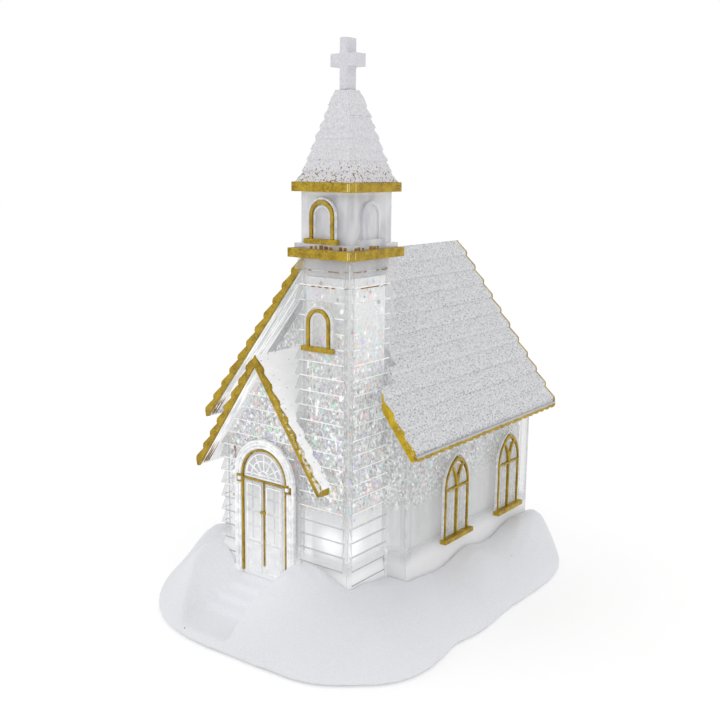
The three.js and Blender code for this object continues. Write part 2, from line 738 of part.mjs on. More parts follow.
function inletSocket() {
  const half = INLET_W / 2;
  const z0 = PLATE_Z1 + INLET_BOARD_T;
  const y0 = POCKET_FLOOR_Y - INLET_L;
  const shell = box(-half, half, y0, POCKET_FLOOR_Y, z0, z0 + INLET_H);
  return shell.subtract(box(
    -half + INLET_SHELL, half - INLET_SHELL, y0 + INLET_BACK, FAR,
    z0 + INLET_SHELL, z0 + INLET_H - INLET_SHELL,
  ));
}

function inletBoard() {
  return box(
    -INLET_W, INLET_W, POCKET_FLOOR_Y - INLET_L - INLET_BOARD_TAIL, POCKET_FLOOR_Y - SNOW_WALL - FIT,
    PLATE_Z1, PLATE_Z1 + INLET_BOARD_T,
  );
}

function ledBoard() {
  const reach = LED_R * 2;
  const last = LED_XS[LED_XS.length - 1];
  return box(
    LED_XS[0] - reach, last + reach, LED_Y - LED_BOARD_HALF_Y, LED_Y + LED_BOARD_HALF_Y,
    LED_BOARD_Z, LED_BOARD_Z + BOARD_T,
  );
}

function led(x) {
  const z0 = LED_BOARD_Z + BOARD_T;
  const diagonal = LED_R * Math.SQRT1_2;
  const profile = [
    [0, 0], [LED_R, 0], [LED_R, LED_H - LED_R], [diagonal, LED_H - LED_R + diagonal], [0, LED_H],
  ].map(([r, h]) => new THREE.Vector2(r, h));
  const geometry = new THREE.LatheGeometry(profile, 16).rotateX(Math.PI / 2);
  return solid(geometry.translate(x, LED_Y, z0));
}

// Motor, magnetic drive and stirrer

const MOTOR_TOP_Z = BRIDGE_TOP_Z - BRIDGE_T;
const CARRIER_Z = BRIDGE_TOP_Z + CARRIER_GAP;

function motorBridge() {
  const x = BRIDGE_HALF;
  const outer = box(
    MOTOR_X - x, MOTOR_X + x, MOTOR_Y - BRIDGE_W / 2, MOTOR_Y + BRIDGE_W / 2, PLATE_Z1, BRIDGE_TOP_Z,
  );
  return outer
    .subtract(box(MOTOR_X - x + BRIDGE_T, MOTOR_X + x - BRIDGE_T, -FAR, FAR, 0, MOTOR_TOP_Z))
    .subtract(cylinder(MOTOR_X, MOTOR_Y, 0, FAR, SHAFT_R + FIT));
}

function motorBody() {
  const can = cylinder(MOTOR_X, MOTOR_Y, MOTOR_TOP_Z - MOTOR_H, MOTOR_TOP_Z, MOTOR_R, 32);
  return can.subtract(cylinder(MOTOR_X, MOTOR_Y, MOTOR_TOP_Z - MOTOR_H / 2, FAR, SHAFT_R + RUN));
}

// The drive's bar magnet, grown by a clearance for its pocket
function magnetBar(grow) {
  return box(
    MOTOR_X - MAGNET_HALF_X - grow, MOTOR_X + MAGNET_HALF_X + grow,
    MOTOR_Y - MAGNET_HALF_Y - grow, MOTOR_Y + MAGNET_HALF_Y + grow,
    CARRIER_Z + CARRIER_T - MAGNET_T, CARRIER_Z + CARRIER_T,
  );
}

function magnetCarrier() {
  const disc = cylinder(MOTOR_X, MOTOR_Y, CARRIER_Z, CARRIER_Z + CARRIER_T, CARRIER_R, 32);
  const shaftFoot = MOTOR_TOP_Z - MOTOR_H / 2 + FIT;
  return disc
    .subtract(magnetBar(RUN))
    .add(cylinder(MOTOR_X, MOTOR_Y, shaftFoot, CARRIER_Z + SHAFT_R / 2, SHAFT_R));
}

const IMPELLER_Z = FLOOR_Z1 + PIN_FLANGE_T + FIT;
const GUARD_Z = IMPELLER_Z + IMPELLER_T + VANE_H + GUARD_CLEAR;

function impeller() {
  const disc = cylinder(MOTOR_X, MOTOR_Y, IMPELLER_Z, IMPELLER_Z + IMPELLER_T, IMPELLER_R, 32);
  const vanes = [];
  for (let i = 0; i < VANE_COUNT; i += 1) {
    const geometry = new THREE.BoxGeometry(IMPELLER_R - PIN_R - 2 * VANE_END, VANE_T, VANE_H + JOIN);
    geometry.translate((IMPELLER_R + PIN_R) / 2, 0, IMPELLER_Z + IMPELLER_T + (VANE_H - JOIN) / 2);
    geometry.rotateZ(i * 2 * Math.PI / VANE_COUNT);
    vanes.push(solid(geometry.translate(MOTOR_X, MOTOR_Y, 0)));
  }
  return union([disc, ...vanes]).subtract(cylinder(MOTOR_X, MOTOR_Y, 0, FAR, PIN_R + RUN));
}

function impellerGuard() {
  const ring = cylinder(MOTOR_X, MOTOR_Y, GUARD_Z, GUARD_Z + GUARD_T, GUARD_R, 32)
    .subtract(cylinder(MOTOR_X, MOTOR_Y, 0, FAR, GUARD_R - GUARD_LEG, 32));
  const half = GUARD_LEG / 2;
  const reach = GUARD_R - half;
  const spokes = [[reach, half], [half, reach]].map(([x, y]) => box(
    MOTOR_X - x, MOTOR_X + x, MOTOR_Y - y, MOTOR_Y + y, GUARD_Z, GUARD_Z + GUARD_T,
  ));
  const pieces = [ring, ...spokes];
  for (let i = 0; i < GUARD_LEGS; i += 1) {
    const angle = (i + 0.5) * 2 * Math.PI / GUARD_LEGS;
    const [x, y] = [MOTOR_X + reach * Math.cos(angle), MOTOR_Y + reach * Math.sin(angle)];
    pieces.push(cylinder(x, y, FLOOR_Z1, GUARD_Z + GUARD_T / 2, half, 12));
  }
  return union(pieces).subtract(cylinder(MOTOR_X, MOTOR_Y, 0, FAR, PIN_R + FIT));
}

// Tank floor

function tankFloor() {
  const floor = footprint(-WALL - FIT, FLOOR_Z0, FLOOR_Z1);
  const flange = cylinder(MOTOR_X, MOTOR_Y, FLOOR_Z0 + JOIN, FLOOR_Z1 + PIN_FLANGE_T, PIN_FLANGE_R);
  const pin = cylinder(MOTOR_X, MOTOR_Y, FLOOR_Z0 + JOIN, GUARD_Z + GUARD_T / 2, PIN_R);
  return union([floor, flange, pin])
    .subtract(cylinder(FILLER_X, FILLER_Y, 0, FAR, FILLER_R + FIT));
}

function tankGasket() {
  const outer = footprint(-WALL - FIT, LEDGE_TOP_Z, FLOOR_Z0);
  return outer.subtract(footprint(-WALL - LEDGE, 0, FAR));
}

function fillerPlug() {
  const head = cylinder(FILLER_X, FILLER_Y, FLOOR_Z0 - FILLER_HEAD_T, FLOOR_Z0, FILLER_HEAD_R);
  return head.add(cylinder(FILLER_X, FILLER_Y, FLOOR_Z0 - JOIN, FLOOR_Z1 + FILLER_PROUD, FILLER_R));
}

function innerLedge() {
  return footprint(-WALL + JOIN, LEDGE_TOP_Z - LEDGE_T, LEDGE_TOP_Z)
    .subtract(footprint(-WALL - LEDGE, 0, FAR));
}

// Walls

function gable(halfX, slope, ridgeZ, centreX, footZ) {
  const eaveZ = ridgeZ - slope * halfX;
  return [
    [centreX - halfX, footZ], [centreX + halfX, footZ], [centreX + halfX, eaveZ],
    [centreX, ridgeZ], [centreX - halfX, eaveZ],
  ];
}

// What lies under a roof's lower face
function underNaveRoof(drop) {
  const ridge = NAVE_RIDGE_Z - NAVE_ROOF_T - drop;
  return prismY(gable(NAVE_ROOF_HALF_X, NAVE_SLOPE, ridge, 0, -FAR), -FAR, FAR);
}

function underPorchRoof(drop) {
  const ridge = PORCH_RIDGE_Z - PORCH_ROOF_T - drop;
  return prismY(gable(PORCH_ROOF_HALF_X, PORCH_SLOPE, ridge, PORCH_RIDGE_X, -FAR), -FAR, FAR);
}

function naveWalls() {
  const outer = column(NAVE, 0, WALL_FOOT_Z, FAR).intersect(underNaveRoof(FIT));
  const shell = outer.subtract(column(NAVE, -WALL, 0, FAR));
  const passage = box(PORCH_X0 + WALL, TOWER_X1 - WALL, -FAR, NAVE_FRONT_Y + WALL, 0, TOWER_PASSAGE_Z);
  const ledge = innerLedge().intersect(column(NAVE, 0, 0, FAR));
  const pads = union(NAVE_WINDOW_YS.flatMap((y) => [1, -1].map((side) => naveWindowPad(side, y))));
  return union([shell.subtract(passage), ledge, pads])
    .subtract(column(TOWER, FIT, 0, FAR));
}

function towerWalls() {
  const [postY0, postY1] = [TOWER_Y0, TOWER_Y0 + CORNER_POST];
  const porchRoofZ = PORCH_RIDGE_Z - PORCH_SLOPE * (TOWER_X0 - PORCH_RIDGE_X);
  const body = union([
    boardedColumn(TOWER, WALL_FOOT_Z, TOWER_TOP_Z),
    box(TOWER_X1 - CORNER_POST, TOWER_X1, postY0, postY1, WALL_FOOT_Z, TOWER_TOP_Z),
    box(TOWER_X0, TOWER_X0 + CORNER_POST, postY0, postY1, WALL_FOOT_Z, porchRoofZ),
  ]);
  const passageLeft = box(-FAR, TOWER_CX, TOWER_Y0 + WALL, NAVE_FRONT_Y, 0, TOWER_PASSAGE_Z);
  const lowSides = box(-FAR, FAR, NAVE_FRONT_Y - FIT, FAR, 0, TOWER_PASSAGE_Z);
  const ledge = innerLedge().intersect(box(TOWER_X0 + JOIN, FAR, -FAR, NAVE_FRONT_Y - FIT, 0, FAR));
  const levels = [TOWER_WINDOW_SILL_Z, TOWER_WINDOW_SPRING_Z];
  return body
    .add(roundWindowPad(TOWER_WINDOW_X, TOWER_Y0, TOWER_WINDOW_HALF, ...levels))
    .add(sideWindow(TOWER_X1, TOWER_WINDOW_HALF, ...levels, TOWER_SILL_HALF))
    .subtract(column(TOWER, -WALL, 0, FAR))
    .subtract(passageLeft)
    .subtract(lowSides)
    .add(ledge);
}

function porchWalls() {
  const plan = { ...PORCH, x1: TOWER_X1, y1: TOWER_Y1 + WALL };
  const boards = boardedColumn(plan, WALL_FOOT_Z, PORCH_RIDGE_Z);
  const pad = archPrism(DOOR_X, SURROUND_HALF, WALL_FOOT_Z, DOOR_SPRING_Z, PORCH.y0, PORCH.y0 + WALL);
  const ledge = innerLedge().intersect(box(-FAR, PORCH.x1, -FAR, PORCH.y1 - FIT, 0, FAR));
  return union([boards, pad])
    .subtract(column(plan, -WALL, 0, FAR))
    .intersect(underPorchRoof(FIT))
    .intersect(box(-FAR, PORCH.x1 - FIT, -FAR, PORCH.y1 - FIT, WALL_FOOT_Z, FAR))
    .add(ledge.intersect(box(-FAR, PORCH.x1 - FIT, -FAR, FAR, 0, FAR)));
}

// Roofs

// The shingled line up one slope, from the eave to the ridge
function shingleLine(halfX, eaveZ, ridgeZ, courses) {
  const rise = ridgeZ - eaveZ;
  const length = Math.hypot(halfX, rise);
  const [runX, runZ] = [halfX / length, rise / length];
  const at = (along, lift) => [halfX - runX * along + runZ * lift, eaveZ + runZ * along + runX * lift];
  const points = [];
  for (let i = 0; i < courses; i += 1) {
    const butt = i * length / courses;
    const head = (i + 1) * length / courses;
    points.push(at(butt + SHINGLE_LAP, SHINGLE_NOSE));
    points.push(at(butt + SHINGLE_NOSE_RUN, SHINGLE_BUTT));
    points.push(at(head - SHINGLE_LAP, SHINGLE_HEAD));
  }
  return points;
}

function roofOutline(halfX, eaveZ, ridgeZ, courses, thickness, eaveDrop) {
  const right = shingleLine(halfX, eaveZ, ridgeZ, courses);
  const left = right.map(([x, z]) => [-x, z]).reverse();
  const heelX = halfX - SOFFIT_HEEL;
  const heelZ = eaveZ - thickness + SOFFIT_HEEL * (ridgeZ - eaveZ) / halfX;
  return [
    [halfX, eaveZ - eaveDrop],
    ...right,
    [0, ridgeZ + RIDGE_CAP],
    ...left,
    [-halfX, eaveZ - eaveDrop],
    [-heelX, heelZ],
    [0, ridgeZ - thickness],
    [heelX, heelZ],
  ];
}

function naveRoofOutline(thickness) {
  return roofOutline(NAVE_ROOF_HALF_X, NAVE_EAVE_Z, NAVE_RIDGE_Z, NAVE_COURSES, thickness, EAVE_BAND);
}

function porchRoofOutline(thickness) {
  const points = roofOutline(
    PORCH_ROOF_HALF_X, PORCH_EAVE_Z, PORCH_RIDGE_Z, PORCH_COURSES, thickness, EAVE_BAND,
  );
  return points.map(([x, z]) => [x + PORCH_RIDGE_X, z]);
}

function roofNotch() {
  const side = TOWER_X1 + ROOF_NOTCH_W;
  const front = NAVE_ROOF_FRONT_Y - JOIN;
  const back = NAVE_FRONT_Y - ROOF_NOTCH_BACK;
  const plan = [
    [TOWER_X1, front],
    [side + ROOF_NOTCH_BEVEL + JOIN, front],
    [side, NAVE_ROOF_FRONT_Y + ROOF_NOTCH_BEVEL],
    [side, back],
    [TOWER_X1, back],
  ];
  return solid(extruded(plan, FAR));
}

function naveRoof() {
  return prismY(naveRoofOutline(NAVE_ROOF_T), NAVE_ROOF_FRONT_Y + TRIM_T, NAVE_ROOF_BACK_Y - TRIM_T)
    .intersect(box(-NAVE_ROOF_HALF_X, NAVE_ROOF_HALF_X, -FAR, FAR, 0, FAR))
    .subtract(column(TOWER, FIT, 0, FAR))
    .subtract(roofNotch());
}

function porchRoof() {
  const front = TOWER_Y0 - PORCH_OVERHANG + TRIM_T;
  return prismY(porchRoofOutline(PORCH_ROOF_T), front, NAVE_FRONT_Y - FIT)
    .subtract(column(TOWER, FIT, 0, FAR));
}

function naveRake(y0, side) {
  const [x0, x1] = side < 0 ? [-FAR, TOWER_X0 - FIT] : [TOWER_X1 + FIT, FAR];
  return prismY(naveRoofOutline(NAVE_RAKE_BAND), y0, y0 + TRIM_T)
    .intersect(box(x0, x1, -FAR, FAR, 0, FAR))
    .subtract(roofNotch());
}

function naveBackRake() {
  return prismY(naveRoofOutline(NAVE_RAKE_BAND), NAVE_ROOF_BACK_Y - TRIM_T, NAVE_ROOF_BACK_Y);
}

function porchRake() {
  const front = TOWER_Y0 - PORCH_OVERHANG;
  return prismY(porchRoofOutline(PORCH_RAKE_BAND), front, front + TRIM_T);
}

function naveEaveTrim(side) {
  const y0 = NAVE_ROOF_FRONT_Y + TRIM_T;
  const length = NAVE_ROOF_BACK_Y - TRIM_T - y0;
  const pitch = length / EAVE_SCALLOPS;
  const points = [[y0, NAVE_EAVE_Z], [y0, NAVE_EAVE_Z - EAVE_BAND + EAVE_SCALLOP_DEPTH]];
  for (let i = 0; i < EAVE_SCALLOPS; i += 1) {
    points.push([y0 + (i + 0.3) * pitch, NAVE_EAVE_Z - EAVE_BAND]);
    points.push([y0 + (i + 0.7) * pitch, NAVE_EAVE_Z - EAVE_BAND]);
    points.push([y0 + (i + 1) * pitch, NAVE_EAVE_Z - EAVE_BAND + EAVE_SCALLOP_DEPTH]);
  }
  points.push([y0 + length, NAVE_EAVE_Z]);
  const x0 = side > 0 ? NAVE_ROOF_HALF_X : -NAVE_ROOF_HALF_X - TRIM_T;
  return prismX(points, x0, x0 + TRIM_T);
}

// Windows and door

// A round-headed slab in X and Z
function archPoints(x, half, z0, springZ) {
  const points = [[x - half, z0], [x + half, z0]];
  for (let i = 0; i <= ARCH_STEPS; i += 1) {
    const angle = i * Math.PI / ARCH_STEPS;
    points.push([x + half * Math.cos(angle), springZ + half * Math.sin(angle)]);
  }
  return points;
}

function archPrism(x, half, z0, springZ, y0, y1) {
  return prismY(archPoints(x, half, z0, springZ), y0, y1);
}

function roundWindowPad(x, wallY, half, sillZ, springZ) {
  return archPrism(x, half + PAD_MARGIN, sillZ - PAD_FOOT, springZ, wallY - PAD_PROUD, wallY + WALL);
}

function roundWindowTrim(x, wallY, half, sillZ, springZ, sillHalf) {
  const face = wallY - PAD_PROUD;
  const band = archPrism(x, half, sillZ, springZ, face - FRONT_TRIM_T, face)
    .subtract(archPrism(x, half - FRONT_TRIM_LINE, sillZ - JOIN, springZ, -FAR, FAR));
  const sill = box(x - sillHalf, x + sillHalf, face - SILL_PROUD, face, sillZ, sillZ + SILL_H);
  return band.add(sill);
}

// The same window in clear plastic on a side face
function sideWindow(wallX, half, sillZ, springZ, sillHalf) {
  const inPlane = (points) => points.map(([u, z]) => [u + SIDE_WINDOW_Y, z]);
  const face = wallX + PAD_PROUD + FRONT_TRIM_T;
  const raised = prismX(inPlane(archPoints(0, half, sillZ, springZ)), wallX - WALL, face);
  const recess = prismX(
    inPlane(archPoints(0, half - FRONT_TRIM_LINE, sillZ + SILL_H, springZ)), wallX + PAD_PROUD, FAR,
  );
  const sill = box(
    wallX - WALL, wallX + PAD_PROUD + SILL_PROUD,
    SIDE_WINDOW_Y - sillHalf, SIDE_WINDOW_Y + sillHalf, sillZ, sillZ + SILL_H,
  );
  return raised.subtract(recess).add(sill);
}

// A pointed arch in Y and Z, as two arcs that meet at the apex
function lancetPoints(y, half, z0, springZ, apexZ) {
  const rise = apexZ - springZ;
  const radius = (half * half + rise * rise) / (2 * half);
  const sweep = Math.asin(rise / radius);
  const points = [[y - half, z0], [y + half, z0]];
  for (let i = 0; i <= ARCH_STEPS / 2; i += 1) {
    const angle = sweep * i * 2 / ARCH_STEPS;
    points.push([y + half - radius + radius * Math.cos(angle), springZ + radius * Math.sin(angle)]);
  }
  for (let i = ARCH_STEPS / 2 - 1; i >= 0; i -= 1) {
    const angle = sweep * i * 2 / ARCH_STEPS;
    points.push([y - half + radius - radius * Math.cos(angle), springZ + radius * Math.sin(angle)]);
  }
  return points;
}

function naveWindowPad(side, y) {
  const points = lancetPoints(
    y, NAVE_WINDOW_HALF + PAD_MARGIN, NAVE_WINDOW_SILL_Z - PAD_FOOT, NAVE_WINDOW_SPRING_Z,
    NAVE_WINDOW_APEX_Z + PAD_MARGIN * APEX_SLOPE,
  );
  const [back, face] = [NAVE_HALF_X - WALL / 2, NAVE_HALF_X + PAD_PROUD];
  return side > 0 ? prismX(points, back, face) : prismX(points, -face, -back);
}

function naveWindowTrim(side, y) {
  const face = NAVE_HALF_X + PAD_PROUD;
  const span = (reach) => (side > 0 ? [face, face + reach] : [-face - reach, -face]);
  const [x0, x1] = span(NAVE_TRIM_T);
  const line = NAVE_WINDOW_LINE;
  const half = NAVE_WINDOW_HALF;
  const lancet = (shrink, z0) => lancetPoints(
    y, half - shrink, z0, NAVE_WINDOW_SPRING_Z, NAVE_WINDOW_APEX_Z - shrink * APEX_SLOPE,
  );
  const whole = prismX(lancet(0, NAVE_WINDOW_SILL_Z), x0, x1);
  const opening = prismX(lancet(line, NAVE_WINDOW_SILL_Z - JOIN), -FAR, FAR);
  const transomZ = NAVE_WINDOW_SPRING_Z - NAVE_TRANSOM_DROP;
  const mullionTop = NAVE_WINDOW_SPRING_Z + NAVE_MULLION_RISE;
  const bars = [
    box(x0, x1, y - half + JOIN, y + half - JOIN, transomZ, transomZ + line),
    box(x0, x1, y - line / 2, y + line / 2, NAVE_WINDOW_SILL_Z, mullionTop),
  ];
  // Two branches of the Y, each an arc like the window's own head, sprung from the mullion
  const branches = [-1, 1].map((turn) => {
    const shift = turn * half;
    const outer = prismX(lancet(0, NAVE_WINDOW_SPRING_Z).map(([u, z]) => [u + shift, z]), x0, x1);
    const inner = prismX(
      lancet(line, NAVE_WINDOW_SPRING_Z - JOIN).map(([u, z]) => [u + shift, z]), -FAR, FAR,
    );
    return outer.subtract(inner).intersect(prismX(lancet(JOIN, NAVE_WINDOW_SPRING_Z), -FAR, FAR));
  });
  const [s0, s1] = span(NAVE_SILL_PROUD);
  const sill = box(
    s0, s1, y - NAVE_SILL_HALF, y + NAVE_SILL_HALF, NAVE_WINDOW_SILL_Z, NAVE_WINDOW_SILL_Z + SILL_H,
  );
  return union([whole.subtract(opening), ...bars, ...branches, sill]);
}

function doorSurround() {
  const face = PORCH.y0;
  const gap = DOOR_HALF + FIT;
  return archPrism(DOOR_X, SURROUND_HALF, WALL_FOOT_Z, DOOR_SPRING_Z, face - SURROUND_T, face)
    .subtract(archPrism(DOOR_X, gap, 0, DOOR_SPRING_Z, -FAR, FAR))
    .subtract(union(rosettePlaces().map(([x, z]) => {
      const half = ROSETTE / 2 + FIT;
      return box(x - half, x + half, -FAR, FAR, z - half, z + half);
    })));
}

function rosettePlaces() {
  const z = DOOR_TRANSOM_Z + DOOR_LINE / 2 - ROSETTE_DROP;
  return [-1, 1].map((side) => [DOOR_X + side * (DOOR_HALF + ROSETTE_OFFSET), z]);
}

function doorLeaves() {
  const face = PORCH.y0;
  const half = DOOR_HALF - DOOR_LINE - FIT;
  const back = face - DOOR_LEAF_T;
  const pieces = [archPrism(DOOR_X, half, DOOR_FOOT_Z, DOOR_SPRING_Z, back, face)];
  const leafHalf = half / 2;
  const columnW = leafHalf - PANEL_MARGIN;
  const rowH = (DOOR_TRANSOM_Z - PANEL_TALL_Z) / PANEL_ROWS;
  const gap = PANEL_MARGIN / 2;
  for (const side of [-1, 1]) {
    const centre = DOOR_X + side * (leafHalf + DOOR_MIDDLE / 2);
    for (const place of [-1, 1]) {
      const x = centre + place * columnW / 2;
      const w = columnW / 2 - gap;
      for (let row = 0; row < PANEL_ROWS; row += 1) {
        const z = PANEL_TALL_Z + row * rowH;
        pieces.push(box(x - w, x + w, back - PANEL_RISE, face, z + gap, z + rowH - gap));
      }
    }
    pieces.push(box(
      centre - columnW + gap, centre + columnW - gap, back - PANEL_RISE, face,
      DOOR_FOOT_Z + PANEL_MARGIN * 2, PANEL_TALL_Z - PANEL_MARGIN,
    ));
  }
  return union(pieces);
}

function doorTrim() {
  const face = PORCH.y0;
  const front = face - DOOR_TRIM_T;
  const seat = face - DOOR_LEAF_T;
  const band = archPrism(DOOR_X, DOOR_HALF, DOOR_TRIM_FOOT_Z, DOOR_SPRING_Z, front, face)
    .subtract(archPrism(DOOR_X, DOOR_HALF - DOOR_LINE, 0, DOOR_SPRING_Z, -FAR, FAR));
  const reach = DOOR_HALF - JOIN;
  const pieces = [
    band,
    box(DOOR_X - reach, DOOR_X + reach, front, seat, DOOR_TRANSOM_Z, DOOR_TRANSOM_Z + DOOR_LINE),
    box(
      DOOR_X - DOOR_MIDDLE / 2, DOOR_X + DOOR_MIDDLE / 2, seat - DOOR_MIDDLE_PROUD, seat,
      DOOR_MIDDLE_FOOT_Z, DOOR_TRANSOM_Z + JOIN,
    ),
    box(
      DOOR_X - HANDLE_HALF, DOOR_X + HANDLE_HALF, front - HANDLE_PROUD, seat - PANEL_RISE,
      HANDLE_Z - HANDLE_HALF_H, HANDLE_Z + HANDLE_HALF_H,
    ),
  ];
  for (const [x, z] of rosettePlaces()) {
    const half = ROSETTE / 2;
    const hole = new THREE.CylinderGeometry(ROSETTE_HOLE_R, ROSETTE_HOLE_R, 4 * DOOR_TRIM_T, 16);
    const square = box(x - half, x + half, front, face, z - half, z + half);
    pieces.push(square.subtract(solid(hole.translate(x, face, z))));
  }
  return union(pieces);
}

// Belfry, spire and cross

const BELFRY = inset(TOWER, BELFRY_INSET);

function slab(rect, grow, z0, thickness) {
  return column(rect, grow, z0, z0 + thickness);
}

function towerPlug() {
  const plan = inset(TOWER, WALL + FIT);
  return column(plan, 0, CORNICE_Z - PLUG_H, CORNICE_Z)
    .subtract(column(plan, -PLUG_WALL, 0, CORNICE_Z - PLUG_WALL));
}

function belfryWalls() {
  const springZ = BELFRY_Z + BELFRY_WINDOW_SPRING;
  const pad = archPrism(
    TOWER_WINDOW_X, BELFRY_WINDOW_HALF + PAD_MARGIN / 2, BELFRY_Z, springZ,
    BELFRY.y0 - PAD_PROUD, BELFRY.y0 + JOIN,
  );
  return column(BELFRY, 0, BELFRY_Z - JOIN, UPPER_CORNICE_Z)
    .add(slab(TOWER, 0, CLEAR_STEP_Z, CLEAR_STEP_T))
    .add(pad)
    .add(sideWindow(BELFRY.x1, BELFRY_WINDOW_HALF, BELFRY_Z, springZ, BELFRY_SILL_HALF))
    .subtract(column(BELFRY, -BELFRY_WALL, 0, UPPER_CORNICE_Z - BELFRY_WALL));
}

// Half width of the spire's surface at a height above its foot, flared at the eaves
function spireHalf(h) {
  const t = h / (SPIRE_ROWS * SPIRE_ROW);
  const flare = SPIRE_FLARE * Math.max(0, 1 - h / SPIRE_FLARE_H) ** 2;
  return THREE.MathUtils.lerp(SPIRE_FOOT_HALF, SPIRE_SHOULDER_HALF, t) + flare;
}

function spireLevel(half, z) {
  const aspect = Math.sqrt(SPIRE_ASPECT);
  const [sx, sy] = [half / aspect, half * aspect];
  return { x0: TOWER_CX - sx, x1: TOWER_CX + sx, y0: TOWER_CY - sy, y1: TOWER_CY + sy, z };
}

function spire() {
  const levels = [];
  for (let row = 0; row < SPIRE_ROWS; row += 1) {
    const h = row * SPIRE_ROW;
    const butt = row === 0 ? 0 : SPIRE_BUTT;
    levels.push(spireLevel(spireHalf(h) + butt, SPIRE_Z + h));
    levels.push(spireLevel(spireHalf(h + SPIRE_BUTT_H) + butt, SPIRE_Z + h + SPIRE_BUTT_H));
    levels.push(spireLevel(spireHalf(h + SPIRE_ROW), SPIRE_Z + h + SPIRE_ROW));
  }
  const shoulder = SPIRE_ROWS * SPIRE_ROW;
  for (let i = 0; i <= DOME_STEPS; i += 1) {
    const t = i / DOME_STEPS;
    const half = THREE.MathUtils.lerp(DOME_FOOT_HALF, DOME_TOP_HALF, t ** DOME_POWER);
    levels.push(spireLevel(half, SPIRE_Z + THREE.MathUtils.lerp(shoulder, SPIRE_H, t)));
  }
  const hollow = stack([
    spireLevel(spireHalf(0) - SPIRE_FLARE - SPIRE_FOOT_WALL, SPIRE_Z - JOIN),
    spireLevel(spireHalf(shoulder) - SPIRE_WALL, SPIRE_Z + shoulder - SPIRE_WALL),
  ]);
  return stack(levels).subtract(hollow);
}

function cross() {
  const post = box(
    TOWER_CX - CROSS_HALF_X, TOWER_CX + CROSS_HALF_X, TOWER_CY - CROSS_HALF_Y, TOWER_CY + CROSS_HALF_Y,
    CROSS_Z, CROSS_Z + CROSS_H,
  );
  const barZ = CROSS_Z + CROSS_BAR_BOTTOM;
  return post.add(box(
    TOWER_CX - CROSS_BAR_HALF_X, TOWER_CX + CROSS_BAR_HALF_X,
    TOWER_CY - CROSS_HALF_Y, TOWER_CY + CROSS_HALF_Y, barZ, barZ + CROSS_BAR_H,
  ));
}

// Materials

const looks = {
  snow: { color: 0xe4e6ea, roughness: 0.65, metalness: 0 },
  roofSnow: { color: 0xeceef1, roughness: 0.8, metalness: 0 },
  clear: { color: 0xe9edf0, roughness: 0.08, metalness: 0, transparent: true, opacity: 0.45 },
  frosted: { color: 0xdfe1e6, roughness: 0.5, metalness: 0, transparent: true, opacity: 0.8 },
  gold: { color: 0xb08c28, roughness: 0.35, metalness: 0.7 },
  white: { color: 0xf0f0ee, roughness: 0.5, metalness: 0 },
  rubber: { color: 0xd8d8d4, roughness: 0.9, metalness: 0 },
  steel: { color: 0xb8bcc0, roughness: 0.3, metalness: 1 },
  board: { color: 0x1f6b45, roughness: 0.6, metalness: 0 },
  cell: { color: 0x3c4048, roughness: 0.4, metalness: 0.2 },
  magnet: { color: 0x4a4a4e, roughness: 0.5, metalness: 0.6 },
  dark: { color: 0x26282b, roughness: 0.6, metalness: 0 },
};

const church = new THREE.Group();

function place(name, body, look) {
  const mesh = new THREE.Mesh(geometryOf(body), new THREE.MeshStandardMaterial(looks[look]));
  mesh.name = name;
  church.add(mesh);
}

place('snow_base', snowBase(), 'snow');
place('base_plate', basePlate(), 'white');
footPlaces().forEach(([x, y], i) => place(`foot_${i + 1}`, foot(x, y), 'rubber'));
bossPlaces().forEach(([x, y], i) => place(`base_screw_${i + 1}`, screw(x, y), 'steel'));
place('battery_tray', batteryTray(), 'white');
place('battery_door', batteryDoor(), 'white');
for (let i = 0; i < CELL_COUNT; i += 1) place(`battery_${i + 1}`, cell(i), 'cell');
place('contact_front', contact(-1), 'steel');
place('contact_back', contact(1), 'steel');
place('switch_housing', switchHousing(), 'dark');
place('switch_knob', switchKnob(), 'dark');
place('inlet_board', inletBoard(), 'board');
place('inlet_socket', inletSocket(), 'steel');
place('led_board', ledBoard(), 'board');
LED_XS.forEach((x, i) => place(`led_${i + 1}`, led(x), 'frosted'));
place('motor_bridge', motorBridge(), 'white');
place('motor_body', motorBody(), 'steel');
place('magnet_carrier', magnetCarrier(), 'white');
place('drive_magnet', magnetBar(0), 'magnet');
place('tank_gasket', tankGasket(), 'rubber');
place('tank_floor', tankFloor(), 'clear');
place('filler_plug', fillerPlug(), 'rubber');
place('impeller', impeller(), 'white');
place('impeller_guard', impellerGuard(), 'clear');
place('nave_walls', naveWalls(), 'clear');
place('tower_walls', towerWalls(), 'clear');
place('porch_walls', porchWalls(), 'clear');
place('nave_roof', naveRoof(), 'roofSnow');
place('porch_roof', porchRoof(), 'roofSnow');
place('door_leaves', doorLeaves(), 'clear');
place('door_surround', doorSurround(), 'clear');
place('door_trim', doorTrim(), 'gold');
place('tower_window_trim', roundWindowTrim(
  TOWER_WINDOW_X, TOWER_Y0, TOWER_WINDOW_HALF, TOWER_WINDOW_SILL_Z, TOWER_WINDOW_SPRING_Z, TOWER_SILL_HALF,
), 'gold');
place('tower_plug', towerPlug(), 'clear');
place('lower_cornice', slab(TOWER, LOWER_CORNICE_REACH, CORNICE_Z, LOWER_CORNICE_T), 'gold');
place('belfry_walls', belfryWalls(), 'clear');
place('belfry_window_trim', roundWindowTrim(
  TOWER_WINDOW_X, BELFRY.y0, BELFRY_WINDOW_HALF, BELFRY_Z, BELFRY_Z + BELFRY_WINDOW_SPRING, BELFRY_SILL_HALF,
), 'gold');
place('upper_cornice', slab(TOWER, UPPER_CORNICE_REACH, UPPER_CORNICE_Z, UPPER_CORNICE_T), 'gold');
place('spire', spire(), 'frosted');
place('cross', cross(), 'frosted');
place('nave_rake_left', naveRake(NAVE_ROOF_FRONT_Y, -1), 'gold');
